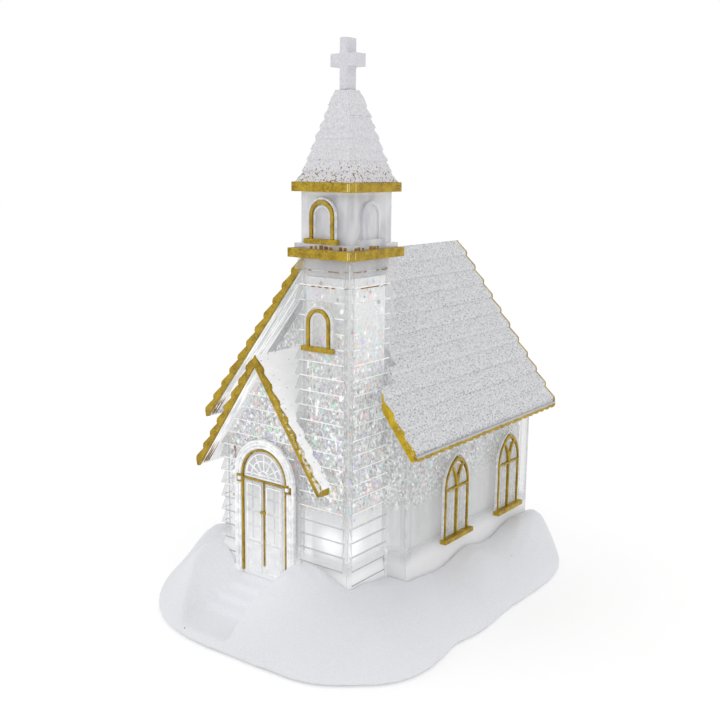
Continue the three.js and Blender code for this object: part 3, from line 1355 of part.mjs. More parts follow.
place('nave_rake_right', naveRake(NAVE_ROOF_FRONT_Y, 1), 'gold');
place('nave_rake_back', naveBackRake(), 'gold');
place('nave_eave_left', naveEaveTrim(-1), 'gold');
place('nave_eave_right', naveEaveTrim(1), 'gold');
place('porch_rake', porchRake(), 'gold');
NAVE_WINDOW_YS.forEach((y, i) => {
  place(`nave_window_right_${i + 1}`, naveWindowTrim(1, y), 'gold');
  place(`nave_window_left_${i + 1}`, naveWindowTrim(-1, y), 'gold');
});

export default church;
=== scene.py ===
"""The looks of a light-up church figurine: clear walls full of glitter, gold mouldings and frosted snow.

Sizes are in millimetres and are turned into metres where a mesh is made. +Z is up, the front faces -Y.
"""
import math
import random
from collections import namedtuple

import bpy
from mathutils import Matrix, Vector


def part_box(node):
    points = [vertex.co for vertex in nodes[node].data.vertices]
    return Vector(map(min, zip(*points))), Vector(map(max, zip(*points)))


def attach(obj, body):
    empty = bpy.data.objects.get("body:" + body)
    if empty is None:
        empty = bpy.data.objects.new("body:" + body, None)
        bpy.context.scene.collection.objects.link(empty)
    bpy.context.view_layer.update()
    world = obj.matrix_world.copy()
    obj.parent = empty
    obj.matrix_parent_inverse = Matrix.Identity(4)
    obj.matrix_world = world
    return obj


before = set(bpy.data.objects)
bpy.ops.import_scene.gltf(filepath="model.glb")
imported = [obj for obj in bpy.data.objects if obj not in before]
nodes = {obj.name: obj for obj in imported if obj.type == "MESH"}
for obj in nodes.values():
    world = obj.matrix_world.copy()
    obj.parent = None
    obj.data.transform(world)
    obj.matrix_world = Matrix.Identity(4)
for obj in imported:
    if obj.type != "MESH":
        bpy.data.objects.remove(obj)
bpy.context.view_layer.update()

MM = 0.001
SEED = 7

# The camera, solved from the photograph: place and direction, roll and lens
CAMERA_PLACE = (333.33, -445.20, 241.94)
CAMERA_FORWARD = (-0.59078, 0.78281, -0.19544)
CAMERA_ROLL = 0.62
CAMERA_LENS = 49.96
CAMERA_SENSOR = 36

# The way the front walls face
FRONT = (0, -1, 0)

# Sizes that the solids have and that the pieces here line up with
CORNICE_REACH = 2.4
WINDOW_PAD = 0.5
WALL = 3
LIQUID_GAP = 1.3
LIQUID_FOOT_Z = 32.4
# Height below which the clear walls are drawn as lit milk, with a painted glow from the lights in the base
MILK_GLOW_FOOT_Z = 31.5
PLUG_FOOT_Z = 186
PLUG_GAP = 0.6
BELFRY_SETBACK = 2.5
BELFRY_WALL = 2
BOARD_START_Z = 28.5
BOARD_PITCH = 7.65
CORNER_POST = 3.4
POST_TOP_Z = 193
PORCH_POST_TOP_Z = 92
NAVE_POST_TOP_Z = 112
TOWER_WINDOW_Z = (146, 174)
TOWER_WINDOW_X = (14.8, 33.8)
TOWER_SIDE_WINDOW_Y = (-61, -41)
ROOF_NOTCH_X = 53
DOOR_X = -12.8
DOOR_LINE = 1.0
DOOR_SPRING_Z = 75.9
DOOR_TRANSOM_Z = 73.6
DOOR_FACE_Y = -69.8
SURROUND_FACE_Y = -70.5
SURROUND_HALF = 21.2
SURROUND_FOOT_Z = 19
LED_X = (-14, 6, 26)
SNOW_GLOW = (-12, -72, 24)

Box = namedtuple("Box", "x0 x1 y0 y1 z0 z1")


class Roof(namedtuple("Roof", "centre half ridge_z eave_z thick front_y")):
    """A gabled roof, half as wide as half says, whose middle is at centre in X."""

    @property
    def slope(self):
        return (self.ridge_z - self.eave_z) / self.half

    def under(self, across):
        """The height of its underside at a distance from the middle."""
        return self.ridge_z - self.thick - self.slope * across


NAVE_ROOF = Roof(0, 71.7, 192.8, 100.3, 4.6, -53.0)
PORCH_ROOF = Roof(-12.8, 43.4, 142.8, 79.6, 4.8, -75.4)


def node_box(name, shrink=0.0):
    """A node's box at rest, in millimetres, drawn in on its four sides."""
    low, high = (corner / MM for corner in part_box(name))
    return Box(low.x + shrink, high.x - shrink, low.y + shrink, high.y - shrink, low.z, high.z)


TOWER = node_box("lower_cornice", CORNICE_REACH)
PORCH = node_box("porch_walls")
NAVE_PADDED = node_box("nave_walls")
NAVE = NAVE_PADDED._replace(x0=NAVE_PADDED.x0 + WINDOW_PAD, x1=NAVE_PADDED.x1 - WINDOW_PAD)
BELFRY_TRIM = node_box("belfry_window_trim")
UPPER_CORNICE = node_box("upper_cornice")


# Colours


def srgb(red, green=None, blue=None):
    """A colour written as in an image, 0 to 255, or one grey level."""
    levels = (red, red if green is None else green, red if blue is None else blue)
    linear = [(c / 255 + 0.055) ** 2.4 / 1.055 ** 2.4 if c > 10 else c / 255 / 12.92 for c in levels]
    return (*linear, 1.0)


SNOW_LIGHT = srgb(231, 232, 236)
SNOW_SHADE = srgb(222, 223, 227)
SPECK_BROWN = srgb(120, 105, 95)
ROOF_WHITE = srgb(232, 232, 234)
ROOF_GREY = srgb(188, 189, 192)
ROOF_FLECK = srgb(128, 129, 132)
FROST_WHITE = srgb(226, 226, 230)
FROST_GREY = srgb(203, 202, 206)
FLECK_BROWN = srgb(132, 104, 50)
CROSS_GREY = srgb(203, 203, 209)
CROSS_LIGHT = srgb(218, 218, 224)
WORN_WHITE = srgb(228, 224, 208)
CLEAR_WHITE = srgb(228, 230, 232)
MOULDING_WHITE = srgb(240, 240, 242)
# Tones of the walls' glowing foot, painted light from the lights in the base
MILK_GLOW_GREY = srgb(222, 222, 223)
MILK_GLOW_WHITE = srgb(238, 238, 239)
CORNER_GREY = srgb(206, 207, 208)

# The golds, each with a light, a middle and a dark shade
GOLD = (srgb(204, 176, 62), srgb(178, 150, 40), srgb(136, 108, 24))
BRIGHT_GOLD = (srgb(222, 192, 50), srgb(204, 172, 22), srgb(160, 130, 20))
# Gold of loose flecks, also used for the collar's painted reflections
GOLD_FLECK_AND_REFLECTION = (srgb(190, 150, 60), srgb(150, 104, 30), srgb(110, 66, 20))
MIRRORED_GOLD = (srgb(196, 156, 60), srgb(158, 108, 30), srgb(108, 62, 16))


# Materials


class Tree:
    """A node tree, with short calls that add nodes and feed them."""

    def __init__(self, tree):
        tree.nodes.clear()
        self.nodes, self.links = tree.nodes, tree.links

    def add(self, kind, inputs=None, **settings):
        node = self.nodes.new("ShaderNode" + kind)
        for name, value in settings.items():
            setattr(node, name, value)
        for key, value in (inputs or {}).items():
            if isinstance(value, bpy.types.NodeSocket):
                self.links.new(value, node.inputs[key])
            else:
                node.inputs[key].default_value = value
        return node

    def math(self, operation, a, b=0.0):
        return self.add("Math", {0: a, 1: b}, operation=operation).outputs[0]

    def plus(self, a, b):
        return self.math("ADD", a, b)

    def times(self, a, b):
        return self.math("MULTIPLY", a, b)


class Paint(Tree):
    """A material, with short calls for the nodes that this scene uses."""

    def __init__(self, name):
        self.material = bpy.data.materials.new(name)
        self.material.use_nodes = True
        super().__init__(self.material.node_tree)
        self.place = self.add("TexCoord").outputs["Object"]

    def span(self, value, low, high, to_low=0.0, to_high=1.0):
        """value between low and high, drawn out to to_low and to_high and held there."""
        inputs = {"Value": value, "From Min": low, "From Max": high, "To Min": to_low, "To Max": to_high}
        return self.add("MapRange", inputs, interpolation_type="SMOOTHSTEP").outputs["Result"]

    def stretched(self, x, y, z):
        """The place with each axis scaled."""
        node = self.add("VectorMath", {0: self.place, 1: (x, y, z)}, operation="MULTIPLY")
        return node.outputs["Vector"]

    def height(self, axis="Z"):
        """A coordinate of the place, in millimetres."""
        part = self.add("SeparateXYZ", {"Vector": self.place}).outputs[axis]
        return self.math("DIVIDE", part, MM)

    def away_from(self, x, y, z):
        """The distance from a point, in millimetres."""
        inputs = {0: self.place, 1: (x * MM, y * MM, z * MM)}
        distance = self.add("VectorMath", inputs, operation="DISTANCE").outputs["Value"]
        return self.math("DIVIDE", distance, MM)

    def noise(self, size, detail=2.0, roughness=0.5, vector=None):
        """Soft noise whose lumps are about size millimetres."""
        inputs = {"Scale": 1 / (size * MM), "Detail": detail, "Roughness": roughness}
        inputs["Vector"] = vector or self.place
        return self.add("TexNoise", inputs).outputs["Fac"]

    def cells(self, size, vector=None, feature="F1"):
        """Irregular cells about size millimetres wide."""
        inputs = {"Scale": 1 / (size * MM), "Vector": vector or self.place}
        return self.add("TexVoronoi", inputs, feature=feature)

    def dots(self, size, share, core, edge, vector=None):
        """Round dots in a share of the cells, and each cell's random numbers: Red, Green and Blue."""
        cells = self.cells(size, vector)
        numbers = self.add("SeparateColor", {"Color": cells.outputs["Color"]}).outputs
        chosen = self.math("LESS_THAN", numbers["Red"], share)
        rounded = self.span(cells.outputs["Distance"], core, edge, 1.0, 0.0)
        return self.times(chosen, rounded), numbers

    def mix(self, factor, a, b):
        return self.add("Mix", {0: factor, 6: a, 7: b}, data_type="RGBA").outputs[2]

    def ramp(self, factor, stops):
        """A colour from a list of (position, colour)."""
        node = self.add("ValToRGB", {"Fac": factor})
        elements = node.color_ramp.elements
        elements[0].position, elements[0].color = stops[0]
        elements[1].position, elements[1].color = stops[-1]
        for position, colour in stops[1:-1]:
            elements.new(position).color = colour
        return node.outputs["Color"]

    def greys(self, stops):
        """A grey that follows the height, from a list of (height, grey)."""
        low, high = stops[0][0], stops[-1][0]
        share = self.math("DIVIDE", self.math("SUBTRACT", self.height(), low), high - low)
        return self.ramp(share, [((z - low) / (high - low), srgb(grey)) for z, grey in stops])

    def bump(self, height, depth):
        """Relief of about depth millimetres."""
        inputs = {"Height": height, "Strength": 1.0, "Distance": depth * MM}
        return self.add("Bump", inputs).outputs["Normal"]

    def finish(self, colour, roughness, normal=None, shine=0.5, lit=None, **sockets):
        """The shader: shine is its specular level and lit the strength of its own light.

        sockets are the Principled sockets' names with _ for a space.
        """
        inputs = {"Base Color": colour, "Roughness": roughness, "Specular IOR Level": shine}
        if normal is not None:
            inputs["Normal"] = normal
        if lit is not None:
            inputs["Emission Color"] = colour
            inputs["Emission Strength"] = lit
        for name, value in sockets.items():
            inputs[name.replace("_", " ")] = value
        shader = self.add("BsdfPrincipled", inputs)
        self.add("OutputMaterial", {"Surface": shader.outputs[0]})
        return self.material


def snow_paint():
    """Matt translucent white with a fine sandy grain and a few dark specks, and a painted glow near the
    door's foot.
    """
    paint = Paint("snow")
    grain = paint.noise(0.7, detail=3)
    drift = paint.noise(38, detail=1)
    tone = paint.mix(paint.span(grain, 0.3, 0.7), SNOW_SHADE, SNOW_LIGHT)
    tone = paint.mix(paint.span(drift, 0.35, 0.65, 0.0, 0.35), tone, SNOW_LIGHT)
    specks = paint.cells(17).outputs["Distance"]
    tone = paint.mix(paint.span(specks, 0.018, 0.03, 1.0, 0.0), tone, SPECK_BROWN)
    relief = paint.plus(grain, paint.times(paint.noise(2.5), 1.5))
    # Painted light: the snow glows near the door's foot, as if lit by the lights in the base.
    lit = paint.span(paint.away_from(*SNOW_GLOW), 12, 60, 0.17, 0.015)
    return paint.finish(tone, 0.62, paint.bump(relief, 0.06), shine=0.2, lit=lit)


def roof_paint(name, flecks, light, dark, lit):
    """Clear shingles frosted over: white grain with grey showing between. lit is the light from within."""
    paint = Paint(name)
    grain = paint.noise(0.9, detail=4, roughness=0.7)
    tone = paint.mix(paint.span(grain, 0.36, 0.62), dark, light)
    spots, _ = paint.dots(1.05, flecks, 0.15, 0.4, paint.stretched(1, 0.6, 1))
    tone = paint.mix(spots, tone, ROOF_FLECK)
    relief = paint.plus(grain, paint.times(paint.noise(3.2), 0.8))
    return paint.finish(tone, 0.7, paint.bump(relief, 0.16), shine=0.3, lit=lit)


def spire_paint():
    """Frosted rows with gold paint caught in the grain of the lowest ones."""
    paint = Paint("spire_frost")
    low = UPPER_CORNICE.z1
    grain = paint.noise(1.0, detail=3, roughness=0.65)
    tone = paint.mix(paint.span(grain, 0.32, 0.66), FROST_GREY, FROST_WHITE)
    fade = paint.span(paint.height(), low + 1, low + 22, 0.44, 0.24)
    blobs = paint.noise(1.1, detail=3, roughness=0.6)
    gold = paint.span(paint.plus(blobs, fade), 0.99, 1.03)
    tone = paint.mix(gold, tone, FLECK_BROWN)
    # A faint painted glow (lit 0.02) lifts the frost a little.
    return paint.finish(tone, 0.55, paint.bump(grain, 0.35), shine=0.4, lit=0.02)


def cross_paint():
    paint = Paint("cross_frost")
    grain = paint.noise(0.9, detail=3)
    tone = paint.mix(paint.span(grain, 0.3, 0.7), CROSS_GREY, CROSS_LIGHT)
    return paint.finish(tone, 0.45, paint.bump(grain, 0.08))


def gold_paint(name, shades, wear=None, under=WORN_WHITE):
    """Satin gold paint, streaky and uneven. wear is a mask of where the colour under it shows."""
    light, middle, dark = shades
    paint = Paint(name)
    broad = paint.noise(5, detail=3)
    fine = paint.noise(0.8, detail=2)
    tone = paint.mix(paint.span(broad, 0.3, 0.7), dark, middle)
    tone = paint.mix(paint.span(fine, 0.4, 0.75, 0.0, 0.7), tone, light)
    if wear is not None:
        tone = paint.mix(wear(paint), tone, under)
    relief = paint.plus(fine, broad)
    return paint.finish(tone, 0.45, paint.bump(relief, 0.07), shine=0.25, Metallic=0.3)


def rubbed_edge(roof, depth, patchy):
    """Wear along a rake's upper edge on the roof's right slope, in patches that grow towards the eave."""
    def wear(paint):
        across = paint.math("SUBTRACT", paint.height("X"), roof.centre)
        drop = paint.times(paint.math("ABSOLUTE", across), roof.slope)
        above = paint.math("SUBTRACT", paint.height(), paint.math("SUBTRACT", roof.ridge_z, drop))
        edge = paint.span(above, -depth, 0.3)
        right = paint.math("GREATER_THAN", across, 6.0)
        more = paint.span(paint.height(), roof.eave_z, roof.ridge_z, 0.09, -0.12)
        patches = paint.plus(paint.noise(2.2, detail=4, roughness=0.7), more)
        patches = paint.span(patches, patchy, patchy + 0.07)
        return paint.times(paint.times(edge, right), patches)
    return wear


def corner_mask(paint, corners):
    """1 in the upright corners, each given as (x, y, reach)."""
    total = 0.0
    for x, y, reach in corners:
        across = paint.math("ABSOLUTE", paint.math("SUBTRACT", paint.height("X"), x))
        along = paint.math("ABSOLUTE", paint.math("SUBTRACT", paint.height("Y"), y))
        inside = paint.math("LESS_THAN", paint.math("MAXIMUM", across, along), reach)
        total = paint.math("MAXIMUM", total, inside)
    return total


def frosted_top(low_z, high_z):
    """Snow grain that hangs over the upper part of an eave's band, in lumps."""
    def wear(paint):
        ragged = paint.times(paint.noise(2.6, detail=3), 2.4)
        return paint.span(paint.plus(paint.height(), ragged), low_z + 1.2, high_z + 1.2)
    return wear


def clear_paint(name, cover, tint=CLEAR_WHITE, foot_z=None, corners=(), glow_tone=MILK_GLOW_WHITE):
    """Clear moulded plastic: see-through in front, brighter where it is seen at a slant.

    foot_z is where the walls turn opaque, whiter and glowing over the lights in the base: the lit milk
    behind them, with painted light from those lights. The corners look grey.
    """
    paint = Paint(name)
    slant = paint.add("LayerWeight", {"Blend": 0.35}).outputs["Facing"]
    ripple = paint.noise(9, detail=2, vector=paint.stretched(1, 1, 0.35))
    cloud = paint.span(ripple, 0.35, 0.65, 0.0, 0.06)
    alpha = paint.plus(paint.plus(cover, cloud), paint.times(slant, 0.14))
    tone = paint.mix(paint.span(ripple, 0.3, 0.7), tint, MOULDING_WHITE)
    if foot_z is None:
        return paint.finish(tone, 0.12, paint.bump(ripple, 0.3), Alpha=alpha)
    corner = corner_mask(paint, corners)
    tone = paint.mix(corner, tone, CORNER_GREY)
    # Painted glow: below foot_z the walls are opaque, whiter and give off light, fading out over 14 mm.
    milk_glow = paint.span(paint.height(), foot_z, foot_z + 14, 1.0, 0.0)
    tone = paint.mix(milk_glow, tone, glow_tone)
    cover = paint.math("MAXIMUM", milk_glow, paint.times(corner, 0.3))
    alpha = paint.math("MAXIMUM", alpha, cover)
    lit = paint.times(milk_glow, 0.12)
    return paint.finish(tone, 0.12, paint.bump(ripple, 0.3), lit=lit, Alpha=alpha)


def moulding_paint(name, cover, lit=0.0):
    """White-looking clear plastic where a moulding gathers the light. lit is the light from within."""
    paint = Paint(name)
    shade = paint.noise(3, detail=2)
    tone = paint.mix(paint.span(shade, 0.3, 0.7), srgb(234, 235, 237), srgb(248))
    alpha = paint.span(shade, 0.3, 0.7, cover, min(1.0, cover + 0.14))
    return paint.finish(tone, 0.2, paint.bump(shade, 0.05), shine=0.6, lit=lit, Alpha=alpha)


def leaf_paint():
    """The door's leaves and fanlight: glitter shows behind the top and a painted glow from the lights below
    fills the foot.
    """
    paint = Paint("door_leaf")
    shade = paint.noise(4, detail=1)
    tone = paint.mix(paint.span(shade, 0.3, 0.7), srgb(230, 231, 233), srgb(238))
    alpha = paint.span(paint.height(), 45, 84, 0.96, 0.5)
    lit = paint.span(paint.height(), 22, 60, 0.14, 0.04)
    return paint.finish(tone, 0.2, paint.bump(shade, 0.05), lit=lit, Alpha=alpha)


def glow(paint, spots):
    """How brightly the lights below show, from a list of (place, reach)."""
    total = 0.0
    for (x, y, z), reach in spots:
        share = paint.span(paint.away_from(x, y, z), 0.0, reach, 1.0, 0.0)
        total = paint.math("MAXIMUM", total, share)
    return total


def liquid_paint(name, stops, density, spots, lump=1.5, lit=0.36):
    """The lit liquid: grey milk that clears upwards, full of glitter where density says so.

    stops holds the milk's grey at some heights, lump is the glitter's size, lit the light from within.
    """
    paint = Paint(name)
    milk = paint.greys(stops)
    streak = paint.noise(5, detail=3, vector=paint.stretched(1, 1, 0.3))
    milk = paint.mix(paint.span(streak, 0.35, 0.65, 0.0, 0.3), milk, srgb(224, 226, 227))
    tall = paint.stretched(1, 1, 0.75)
    lumps = paint.noise(lump, detail=4, roughness=0.7, vector=tall)
    glitter = paint.ramp(paint.span(lumps, 0.3, 0.7), [
        (0.0, srgb(122, 120, 115)), (0.3, srgb(168, 168, 165)), (0.55, srgb(194, 196, 195)),
        (0.8, srgb(218, 221, 221)), (1.0, srgb(250)),
    ])
    dots, numbers = paint.dots(lump * 1.3, 0.36, 0.18, 0.34, tall)
    hue = paint.add("CombineColor", {0: numbers["Green"], 1: 0.28, 2: 0.96}, mode="HSV").outputs[0]
    hue = paint.mix(paint.math("LESS_THAN", numbers["Blue"], 0.45), hue, srgb(255))
    glitter = paint.mix(dots, glitter, hue)
    clouds = paint.noise(7, detail=2)
    amount = paint.times(density(paint), paint.span(clouds, 0.25, 0.6, 0.7, 1.0))
    tone = paint.mix(amount, milk, glitter)
    bright = glow(paint, spots)
    within = lit(paint) if callable(lit) else lit
    strength = paint.plus(paint.times(bright, 0.4), within)
    light = paint.mix(bright, tone, srgb(255))
    return paint.finish(tone, 0.4, paint.bump(lumps, 0.1), shine=0.3, lit=strength, Emission_Color=light)


def plain_paint(name, colour, roughness, relief=0.05, grain=1.5, vary=0.08, **sockets):
    """A moulded or plated surface with a slight unevenness."""
    paint = Paint(name)
    lumps = paint.noise(grain, detail=3)
    shade = tuple(c * (1 - vary) for c in colour[:3]) + (1.0,)
    tone = paint.mix(paint.span(lumps, 0.3, 0.7), shade, colour)
    return paint.finish(tone, roughness, paint.bump(lumps, relief), **sockets)


def cell_paint():
    """A battery's jacket: a dark sleeve with a lighter band near its positive end."""
    paint = Paint("cell_jacket")
    along = paint.height("Y")
    band = paint.times(paint.span(along, 70, 70.3), paint.span(along, 77, 77.3, 1.0, 0.0))
    scuffs = paint.noise(2, detail=4)
    tone = paint.mix(band, srgb(62, 66, 74), srgb(176, 140, 62))
    tone = paint.mix(paint.span(scuffs, 0.6, 0.75, 0.0, 0.3), tone, srgb(150))
    return paint.finish(tone, 0.35, paint.bump(scuffs, 0.02), Metallic=0.3)


def circuit_paint():
    """Green board with fine copper tracks under the lacquer."""
    paint = Paint("circuit_board")
    tracks = paint.cells(2.2, feature="DISTANCE_TO_EDGE").outputs["Distance"]
    tone = paint.mix(paint.span(tracks, 0.03, 0.08), srgb(70, 140, 90), srgb(30, 92, 58))
    return paint.finish(tone, 0.4, paint.bump(tracks, 0.03))


# Meshes


def add_object(name, data):
    thing = bpy.data.objects.new(name, data)
    bpy.context.scene.collection.objects.link(thing)
    return thing


class Shape:
    """Points and faces in millimetres, gathered into one piece."""

    def __init__(self):
        self.points = []
        self.faces = []

    def add(self, points, faces):
        start = len(self.points)
        self.points += [tuple(p) for p in points]
        self.faces += [[start + i for i in face] for face in faces]

    def bar(self, x0, x1, y0, y1, z0, z1):
        points = [(x, y, z) for z in (z0, z1) for y in (y0, y1) for x in (x0, x1)]
        self.add(points, [
            (0, 2, 3, 1), (4, 5, 7, 6), (0, 1, 5, 4), (2, 6, 7, 3), (0, 4, 6, 2), (1, 3, 7, 5),
        ])

    def strip(self, path, width, outward, depth):
        """A flat-backed strip along a path in a wall's plane.

        path holds points, width goes to both sides of it, outward is the wall's normal.
        """
        outward = Vector(outward)
        points = [Vector(p) for p in path]
        rows = []
        for i, point in enumerate(points):
            ahead = points[min(i + 1, len(points) - 1)] - points[max(i - 1, 0)]
            side = ahead.cross(outward).normalized() * width / 2
            top = point + outward * depth
            rows.append((point - side, top - side * 0.6, top + side * 0.6, point + side))
        count = len(rows)
        self.add(
            [p for row in rows for p in row],
            [(4 * i + a, 4 * i + b, 4 * i + 4 + b, 4 * i + 4 + a)
             for i in range(count - 1) for a, b in ((0, 1), (1, 2), (2, 3), (3, 0))]
            + [(0, 1, 2, 3), tuple(4 * (count - 1) + i for i in (3, 2, 1, 0))],
        )

    def piece(self, name, paint, slot, bevel=0.0, body="church"):
        mesh = bpy.data.meshes.new(name)
        mesh.from_pydata([Vector(p) * MM for p in self.points], [], self.faces)
        mesh.validate()
        mesh.materials.append(paint)
        piece = add_object(name, mesh)
        if bevel:
            modifier = piece.modifiers.new("edges", "BEVEL")
            modifier.width = bevel * MM
            modifier.segments = 2
        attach(piece, body)


def arch_path(x, half, z0, spring_z, y, steps=20):
    """Up one side, round the head and down the other, in a plane of constant y."""
    path = [(x - half, y, z0), (x - half, y, (z0 + spring_z) / 2)]
    for i in range(steps + 1):
        angle = math.pi * (1 - i / steps)
        path.append((x + half * math.cos(angle), y, spring_z + half * math.sin(angle)))
    return path + [(x + half, y, (z0 + spring_z) / 2), (x + half, y, z0)]


def lancet_path(x, y, half, z0, spring_z, apex_z, steps=10):
    """A pointed arch in a plane of constant x, as two arcs that meet at the apex."""
    rise = apex_z - spring_z
    radius = (half * half + rise * rise) / (2 * half)
    sweep = math.asin(rise / radius)
    angles = [sweep * i / steps for i in range(steps + 1)]
    side = [(half - radius + radius * math.cos(a), spring_z + radius * math.sin(a)) for a in angles]
    left = [(x, y - u, z) for u, z in side]
    right = [(x, y + u, z) for u, z in reversed(side[:-1])]
    return [(x, y - half, z0)] + left + right + [(x, y + half, z0)]


def set_paint(paint, *names):
    for name in names:
        target = nodes[name]
        target.data.materials.clear()
        target.data.materials.append(paint)


# The liquid, in open shells just inside the walls


def shell(outline, y0, y1):
    """The sides and ends of a prism whose outline in X and Z stands on an open foot."""
    shape = Shape()
    count = len(outline)
    points = [(x, y, z) for y in (y0, y1) for x, z in outline]
    faces = [(i, i + 1, count + i + 1, count + i) for i in range(count - 1)]
    shape.add(points, faces + [tuple(range(count)), tuple(range(2 * count - 1, count - 1, -1))])
    return shape


def boxed(x0, x1, z0, z1):
    """A box's outline from its left foot to its right foot."""
    return [(x0, z0), (x0, z1), (x1, z1), (x1, z0)]


def gabled(roof, half):
    """The liquid's outline under a roof, from its left foot over the ridge to its right foot."""
    ridge_z = roof.under(0) - LIQUID_GAP
    shoulder = ridge_z - roof.slope * half
    return [
        (roof.centre - half, LIQUID_FOOT_Z), (roof.centre - half, shoulder), (roof.centre, ridge_z),
        (roof.centre + half, shoulder), (roof.centre + half, LIQUID_FOOT_Z),
    ]


def make_liquid():
    inset = WALL + LIQUID_GAP

    def tower_density(paint):
        height = paint.height()
        rising = paint.span(height, 58, 74)
        return paint.times(rising, paint.span(height, 112, 168, 1.0, 0.3))

    def porch_density(paint):
        return paint.span(paint.height(), 58, 71)

    def nave_density(paint):
        edge = paint.plus(paint.times(paint.height("Y"), -0.05), paint.height())
        edge = paint.plus(edge, paint.times(paint.noise(12, detail=3), 16))
        return paint.span(edge, 63, 79)

    def nave_light(paint):
        return paint.span(paint.height("Y"), -31, -26, 0.45, 0.2)

    def tower_light(paint):
        return paint.span(paint.height("X"), TOWER.x1 - inset - 1, TOWER.x1 - inset, 0.27, 0.44)

    tower_stops = [
        (30, 222), (43, 226), (52, 224), (62, 214), (75, 194),
        (115, 190), (140, 202), (165, 212), (190, 216),
    ]
    porch_stops = [(32, 246), (45, 242), (58, 236), (68, 214), (80, 200), (110, 218), (145, 230)]
    nave_stops = [(30, 210), (42, 198), (50, 190), (60, 190), (75, 186), (95, 180), (150, 190)]
    tower_spots = [((29, TOWER.y0 + inset, 48), 13), ((TOWER.x1 + 2, TOWER.y0 + 8, 47), 16)]
    porch_spots = [((x, PORCH.y0 + inset, 24), 24) for x in LED_X]

    paint = liquid_paint("liquid_tower", tower_stops, tower_density, tower_spots, lit=tower_light)
    outline = boxed(TOWER.x0 + inset, TOWER.x1 - inset, LIQUID_FOOT_Z, PLUG_FOOT_Z - PLUG_GAP)
    shell(outline, TOWER.y0 + inset, TOWER.y1 - inset).piece("liquid_tower", paint, "clear")

    paint = liquid_paint("liquid_porch", porch_stops, porch_density, porch_spots)
    outline = gabled(PORCH_ROOF, PORCH_ROOF.centre - PORCH.x0 - inset)
    shell(outline, PORCH.y0 + inset, NAVE.y0 + inset).piece("liquid_porch", paint, "clear")

    paint = liquid_paint("liquid_nave", nave_stops, nave_density, [], 1.15, nave_light)
    outline = gabled(NAVE_ROOF, NAVE.x1 - inset)
    shell(outline, NAVE.y0 + inset, NAVE.y1 - inset).piece("liquid_nave", paint, "clear")


def make_belfry_core():
    """The belfry's inside, seen through its walls: even grey with upright bands, painted streaks of
    refracted light, and a faint painted glow.
    """
    paint = Paint("belfry_core")
    band = paint.noise(4.5, detail=2, vector=paint.stretched(1, 1, 0.02))
    tone = paint.mix(paint.span(band, 0.35, 0.65), srgb(206, 207, 211), srgb(222, 222, 226))
    dots, numbers = paint.dots(2.6, 0.2, 0.12, 0.2)
    hue = paint.ramp(numbers["Green"], [
        (0.0, srgb(150, 120, 90)), (0.3, srgb(140, 110, 130)),
        (0.6, srgb(150, 150, 190)), (1.0, srgb(190, 150, 90)),
    ])
    tone = paint.mix(dots, tone, hue)
    # lit 0.15 is a faint painted glow.
    material = paint.finish(tone, 0.3, paint.bump(band, 0.2), shine=0.4, lit=0.15)
    inset = BELFRY_SETBACK + BELFRY_WALL + PLUG_GAP
    outline = boxed(TOWER.x0 + inset, TOWER.x1 - inset, BELFRY_TRIM.z0 - 1, UPPER_CORNICE.z0 - 3)
    shell(outline, TOWER.y0 + inset, TOWER.y1 - inset).piece("belfry_core", material, "clear")


# Glitter flakes that drift between the liquid and the walls

FLAKES = {
    "white": (srgb(253), 0.4),
    "silver": (srgb(196, 198, 198), 0.22),
    "grey": (srgb(120, 120, 116), 0.16),
    "pink": (srgb(248, 176, 186), 0.05),
    "green": (srgb(140, 230, 175), 0.05),
    "cyan": (srgb(156, 224, 236), 0.045),
    "violet": (srgb(186, 164, 244), 0.045),
    "gold": (srgb(240, 180, 120), 0.05),
    "brown": (srgb(140, 108, 70), 0.02),
    "red": (srgb(245, 90, 90), 0.01),
}


def flake_paint(name, colour):
    paint = Paint(f"flake_{name}")
    # Painted sparkle: a painted sheen towards white, and a painted glow (lit 0.3).
    sheen = paint.noise(0.6, detail=1)
    tone = paint.mix(paint.span(sheen, 0.3, 0.7, 0.0, 0.4), colour, srgb(255))
    return paint.finish(tone, 0.25, lit=0.3, Metallic=0.2)


def ramp_between(value, low, high):
    return min(1.0, max(0.0, (value - low) / (high - low)))


